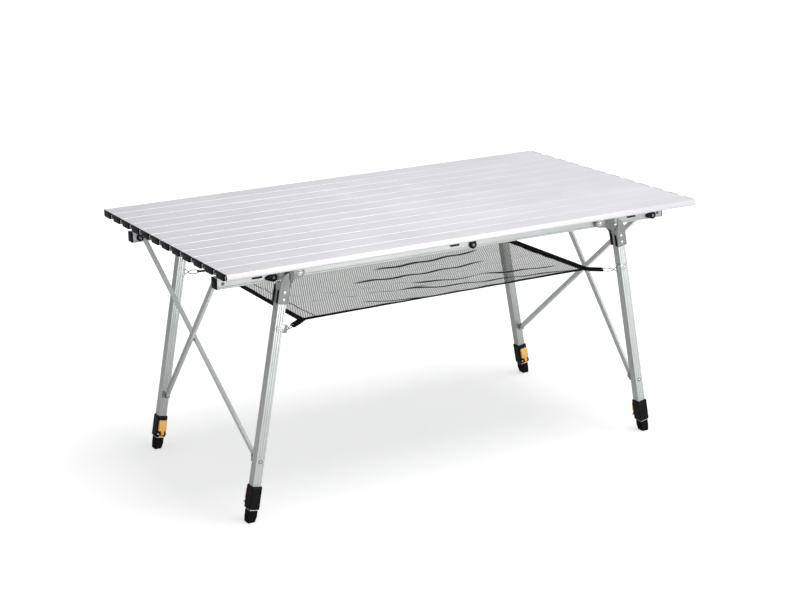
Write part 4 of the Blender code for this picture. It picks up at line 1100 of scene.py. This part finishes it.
def net_pieces(sizes):
    """The net shelf: one sagging sheet, its bound edge, and a tab and a wire hook at each corner."""
    shares = (np.linspace(-0.5, 0.5, count) for count in SHEET_GRID)
    x, y = (share * (size - 4 * MM) for share, size in zip(shares, (NET_LENGTH, NET_DEPTH)))
    gx, gy = np.meshgrid(x, y, indexing="ij")
    upper = np.stack([pulled(gx, gy), drawn_in(gx, gy), net_level(gx, gy)], axis=-1)
    lower = upper - (0.0, 0.0, SHEET_THICKNESS)
    rings = np.concatenate([upper, lower[:, ::-1]], axis=1)
    net = piece("net_sheet", [rings], "net", "back_frame", "net_shelf", angle=80.0)

    s = np.linspace(-0.5, 0.5, TAPE_STEPS + 1)[:-1]
    near = np.c_[s * NET_LENGTH, drawn_in(s * NET_LENGTH, -NET_DEPTH / 2)]
    right = np.c_[np.full(TAPE_STEPS, NET_LENGTH / 2), s * NET_DEPTH]
    edge = np.vstack([near, right, -near, -right])
    inward = inset(edge, sizes.binding) - edge
    inward[:, 0] *= np.where(edge[:, 0] > 0, *TAPE_WIDER)
    ramp, proud = np.linspace(0, 1, 5), np.array((1, 1.2, 1.3, 1.2, 1))
    share, height = np.r_[ramp, ramp[::-1]], np.r_[proud, -proud]
    flat = edge[:, None] + share[None, :, None] * inward[:, None]
    x, y = flat[..., 0], flat[..., 1]
    tape = np.stack([pulled(x, y), y, net_level(x, y) - SHEET_THICKNESS / 2 + height * MM], axis=-1)
    binding = piece("net_binding", [tape], "tape", "back_frame", angle=50.0, loops=(0,))

    tabs, hooks = [], []
    for corner, sides in CORNERS.items():
        straps, wires = net_corner(sizes, NET_PULL[corner])
        tabs += [part * sides for part in straps]
        hooks += [part * sides for part in wires]
    tab_piece = piece("net_tabs", tabs, "tape", "back_frame")
    hook_piece = piece("net_hooks", hooks, "bracket", "back_frame", loops=(1, 3, 5, 7))
    for soft in (net, binding, tab_piece, hook_piece):
        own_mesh(soft)


# Stage

CAMERA_AT = (-2.007, -3.427, 1.532)
CAMERA_TURN = (28.61, 16.74, -1.1)  # azimuth, fall and roll, in degrees
FOCAL_PIXELS = 1758.5
OPTICAL_CENTRE = (348.9, 305.4)
PHOTO_SIZE = (800, 600)
# Name, place, aim, width and height, watts
LAMPS = (
    ("over_the_table", (0.5, -0.5, 3.2), (0.0, 0.0, 0.4), (2.4, 2.4), 89.0),
    ("from_the_front", (1.0, -3.7, 0.60), (0.0, 0.0, 0.4), (3.0, 1.0), 72.0),
)
ROOM_TONE, ROOM_STRENGTH = (0.97, 0.98, 1.0, 1), 0.37
FLOOR_HALF = 14.0
GLOW_LEAST, GLOW_FROM, GLOW_TO = 0.60, 0.9, 3.4


def placed(name, data, first, second, third, place):
    """An object in the scene, by its three axes and its place."""
    obj = linked(name, data)
    obj.matrix_world = Matrix(np.c_[first, second, third, place].tolist() + [[0, 0, 0, 1]])
    return obj


def add_camera():
    """The photograph's view: the fitted place, direction and focal length."""
    azimuth, fall, roll = (math.radians(angle) for angle in CAMERA_TURN)
    level = math.cos(fall)
    ahead = np.array((math.sin(azimuth) * level, math.cos(azimuth) * level, -math.sin(fall)))
    right = unit(np.cross(ahead, Z))
    up = np.cross(right, ahead)
    turned_right = math.cos(roll) * right + math.sin(roll) * up
    turned_up = math.cos(roll) * up - math.sin(roll) * right
    width, height = PHOTO_SIZE
    data = bpy.data.cameras.new("photo_view")
    data.sensor_width = 36.0
    data.lens = FOCAL_PIXELS * data.sensor_width / width
    data.shift_x = (width / 2 - OPTICAL_CENTRE[0]) / width
    data.shift_y = (OPTICAL_CENTRE[1] - height / 2) / width
    data.clip_end = 100.0
    bpy.context.scene.camera = placed("photo_view", data, turned_right, turned_up, -ahead, CAMERA_AT)


def add_lamp(name, place, aim, size, power):
    """A soft lamp, so wide and so high, that points at a spot."""
    data = bpy.data.lights.new(name, "AREA")
    data.shape = "RECTANGLE"
    data.size, data.size_y = size
    data.energy = power
    back, side, up = across(np.subtract(place, aim))
    placed(name, data, side, up, back, place)


def add_room():
    """An even pale room. The camera sees it white."""
    world = bpy.data.worlds.new("pale_room")
    world.use_nodes = True
    nodes, links = world.node_tree.nodes, world.node_tree.links
    nodes.clear()
    path = nodes.new("ShaderNodeLightPath")
    white, room = nodes.new("ShaderNodeBackground"), nodes.new("ShaderNodeBackground")
    mixed = nodes.new("ShaderNodeMixShader")
    white.inputs[0].default_value = (1, 1, 1, 1)
    room.inputs[0].default_value = ROOM_TONE
    room.inputs[1].default_value = ROOM_STRENGTH
    links.new(path.outputs["Is Camera Ray"], mixed.inputs[0])
    links.new(room.outputs[0], mixed.inputs[1])
    links.new(white.outputs[0], mixed.inputs[2])
    links.new(mixed.outputs[0], nodes.new("ShaderNodeOutputWorld").inputs[0])
    bpy.context.scene.world = world


def add_floor(tone):
    """A wide pale floor. It glows to the camera, more so further out: white, but with the shadow kept."""
    f = Finish("studio_floor", 0.9)
    grain = f.noise(3.0)
    f.paint("Base Color", f.mix(grain, shade(tone, 0.995), tone))
    seen = f.node("ShaderNodeLightPath", output="Is Camera Ray")
    reach = f.node("ShaderNodeVectorMath", {"operation": "LENGTH"}, {0: f.place()}, output=1)
    glow = GLOW_LEAST + reach.between(GLOW_FROM, GLOW_TO) * (1 - GLOW_LEAST)
    f.paint("Emission Color", f.mix(seen * glow, (0.0, 0.0, 0.0), (1.0, 1.0, 1.0)))
    f.shader.inputs["Emission Strength"].default_value = 1.0
    mesh = bpy.data.meshes.new("floor")
    corners = [(x * FLOOR_HALF, y * FLOOR_HALF, 0) for x, y in ((-1, -1), (1, -1), (1, 1), (-1, 1))]
    mesh.from_pydata(corners, [], [(0, 1, 2, 3)])
    mesh.materials.append(f.material)
    linked("floor", mesh)


def stage_pieces(colours):
    """Floor, room, two soft lamps and the camera."""
    add_floor(colours.floor)
    add_room()
    for lamp in LAMPS:
        add_lamp(*lamp)
    add_camera()
    bpy.context.scene.view_settings.view_transform = "Standard"


# Add-on


def operator(label, text, work, *groups):
    """An operator class whose execute runs one group's work with the scene's sizes or colours."""

    def execute(self, context):
        work(*(getattr(context.scene, "camp_table_" + group) for group in groups))
        return {"FINISHED"}

    name = label.lower().replace(" ", "_")
    parts = {"bl_idname": "camp_table." + name, "bl_label": label, "__doc__": text, "execute": execute}
    parts["bl_options"] = {"REGISTER", "UNDO"}
    return type("CAMP_TABLE_OT_" + name, (bpy.types.Operator,), parts)


OPERATORS = (
    operator("Slats", "Add the twelve slats with their end caps", slat_pieces, "sizes"),
    operator("Rails", "Add both rails with their plugs and screws", rail_pieces, "sizes"),
    operator("Cross bars", "Add the bars that carry the slats", cross_bar_pieces),
    operator("Brackets", "Add the four leg brackets", bracket_pieces),
    operator("Legs", "Add the four outer legs", leg_pieces, "sizes"),
    operator("Clamps", "Add the clamps and their levers", clamp_pieces),
    operator("Feet", "Add the inner legs and the feet", inner_leg_pieces, "sizes"),
    operator("Braces", "Add the crossed braces and swivels", brace_pieces),
    operator("Latches", "Add the six turn latches", latch_pieces),
    operator("Net", "Add the net shelf and its hooks", net_pieces, "sizes"),
    operator("Stage", "Add floor, light and camera", stage_pieces, "colours"),
)


class CAMP_TABLE_PT_pieces(bpy.types.Panel):
    """Sizes, colours and pieces of the camp table."""

    bl_label = "Camp table"
    bl_space_type = "VIEW_3D"
    bl_region_type = "UI"
    bl_category = "Camp table"

    def draw(self, context):
        for group in (context.scene.camp_table_sizes, context.scene.camp_table_colours):
            for key in group.__annotations__:
                self.layout.prop(group, key)
        for kind in OPERATORS:
            self.layout.operator(kind.bl_idname)


CLASSES = (CampTableSizes, CampTableColours, *OPERATORS, CAMP_TABLE_PT_pieces)


def register():
    """Register the classes and hang the properties on the scene."""
    for kind in CLASSES:
        bpy.utils.register_class(kind)
    bpy.types.Scene.camp_table_sizes = PointerProperty(type=CampTableSizes)
    bpy.types.Scene.camp_table_colours = PointerProperty(type=CampTableColours)


def unregister():
    """Take the properties and classes away."""
    del bpy.types.Scene.camp_table_colours
    del bpy.types.Scene.camp_table_sizes
    for kind in reversed(CLASSES):
        bpy.utils.unregister_class(kind)


def main():
    """Build everything, and write down the CAD box and the visual model's box."""
    register()
    for kind in OPERATORS:
        getattr(bpy.ops.camp_table, kind.bl_idname.split(".")[1])()


if __name__ == "__main__":
    main()
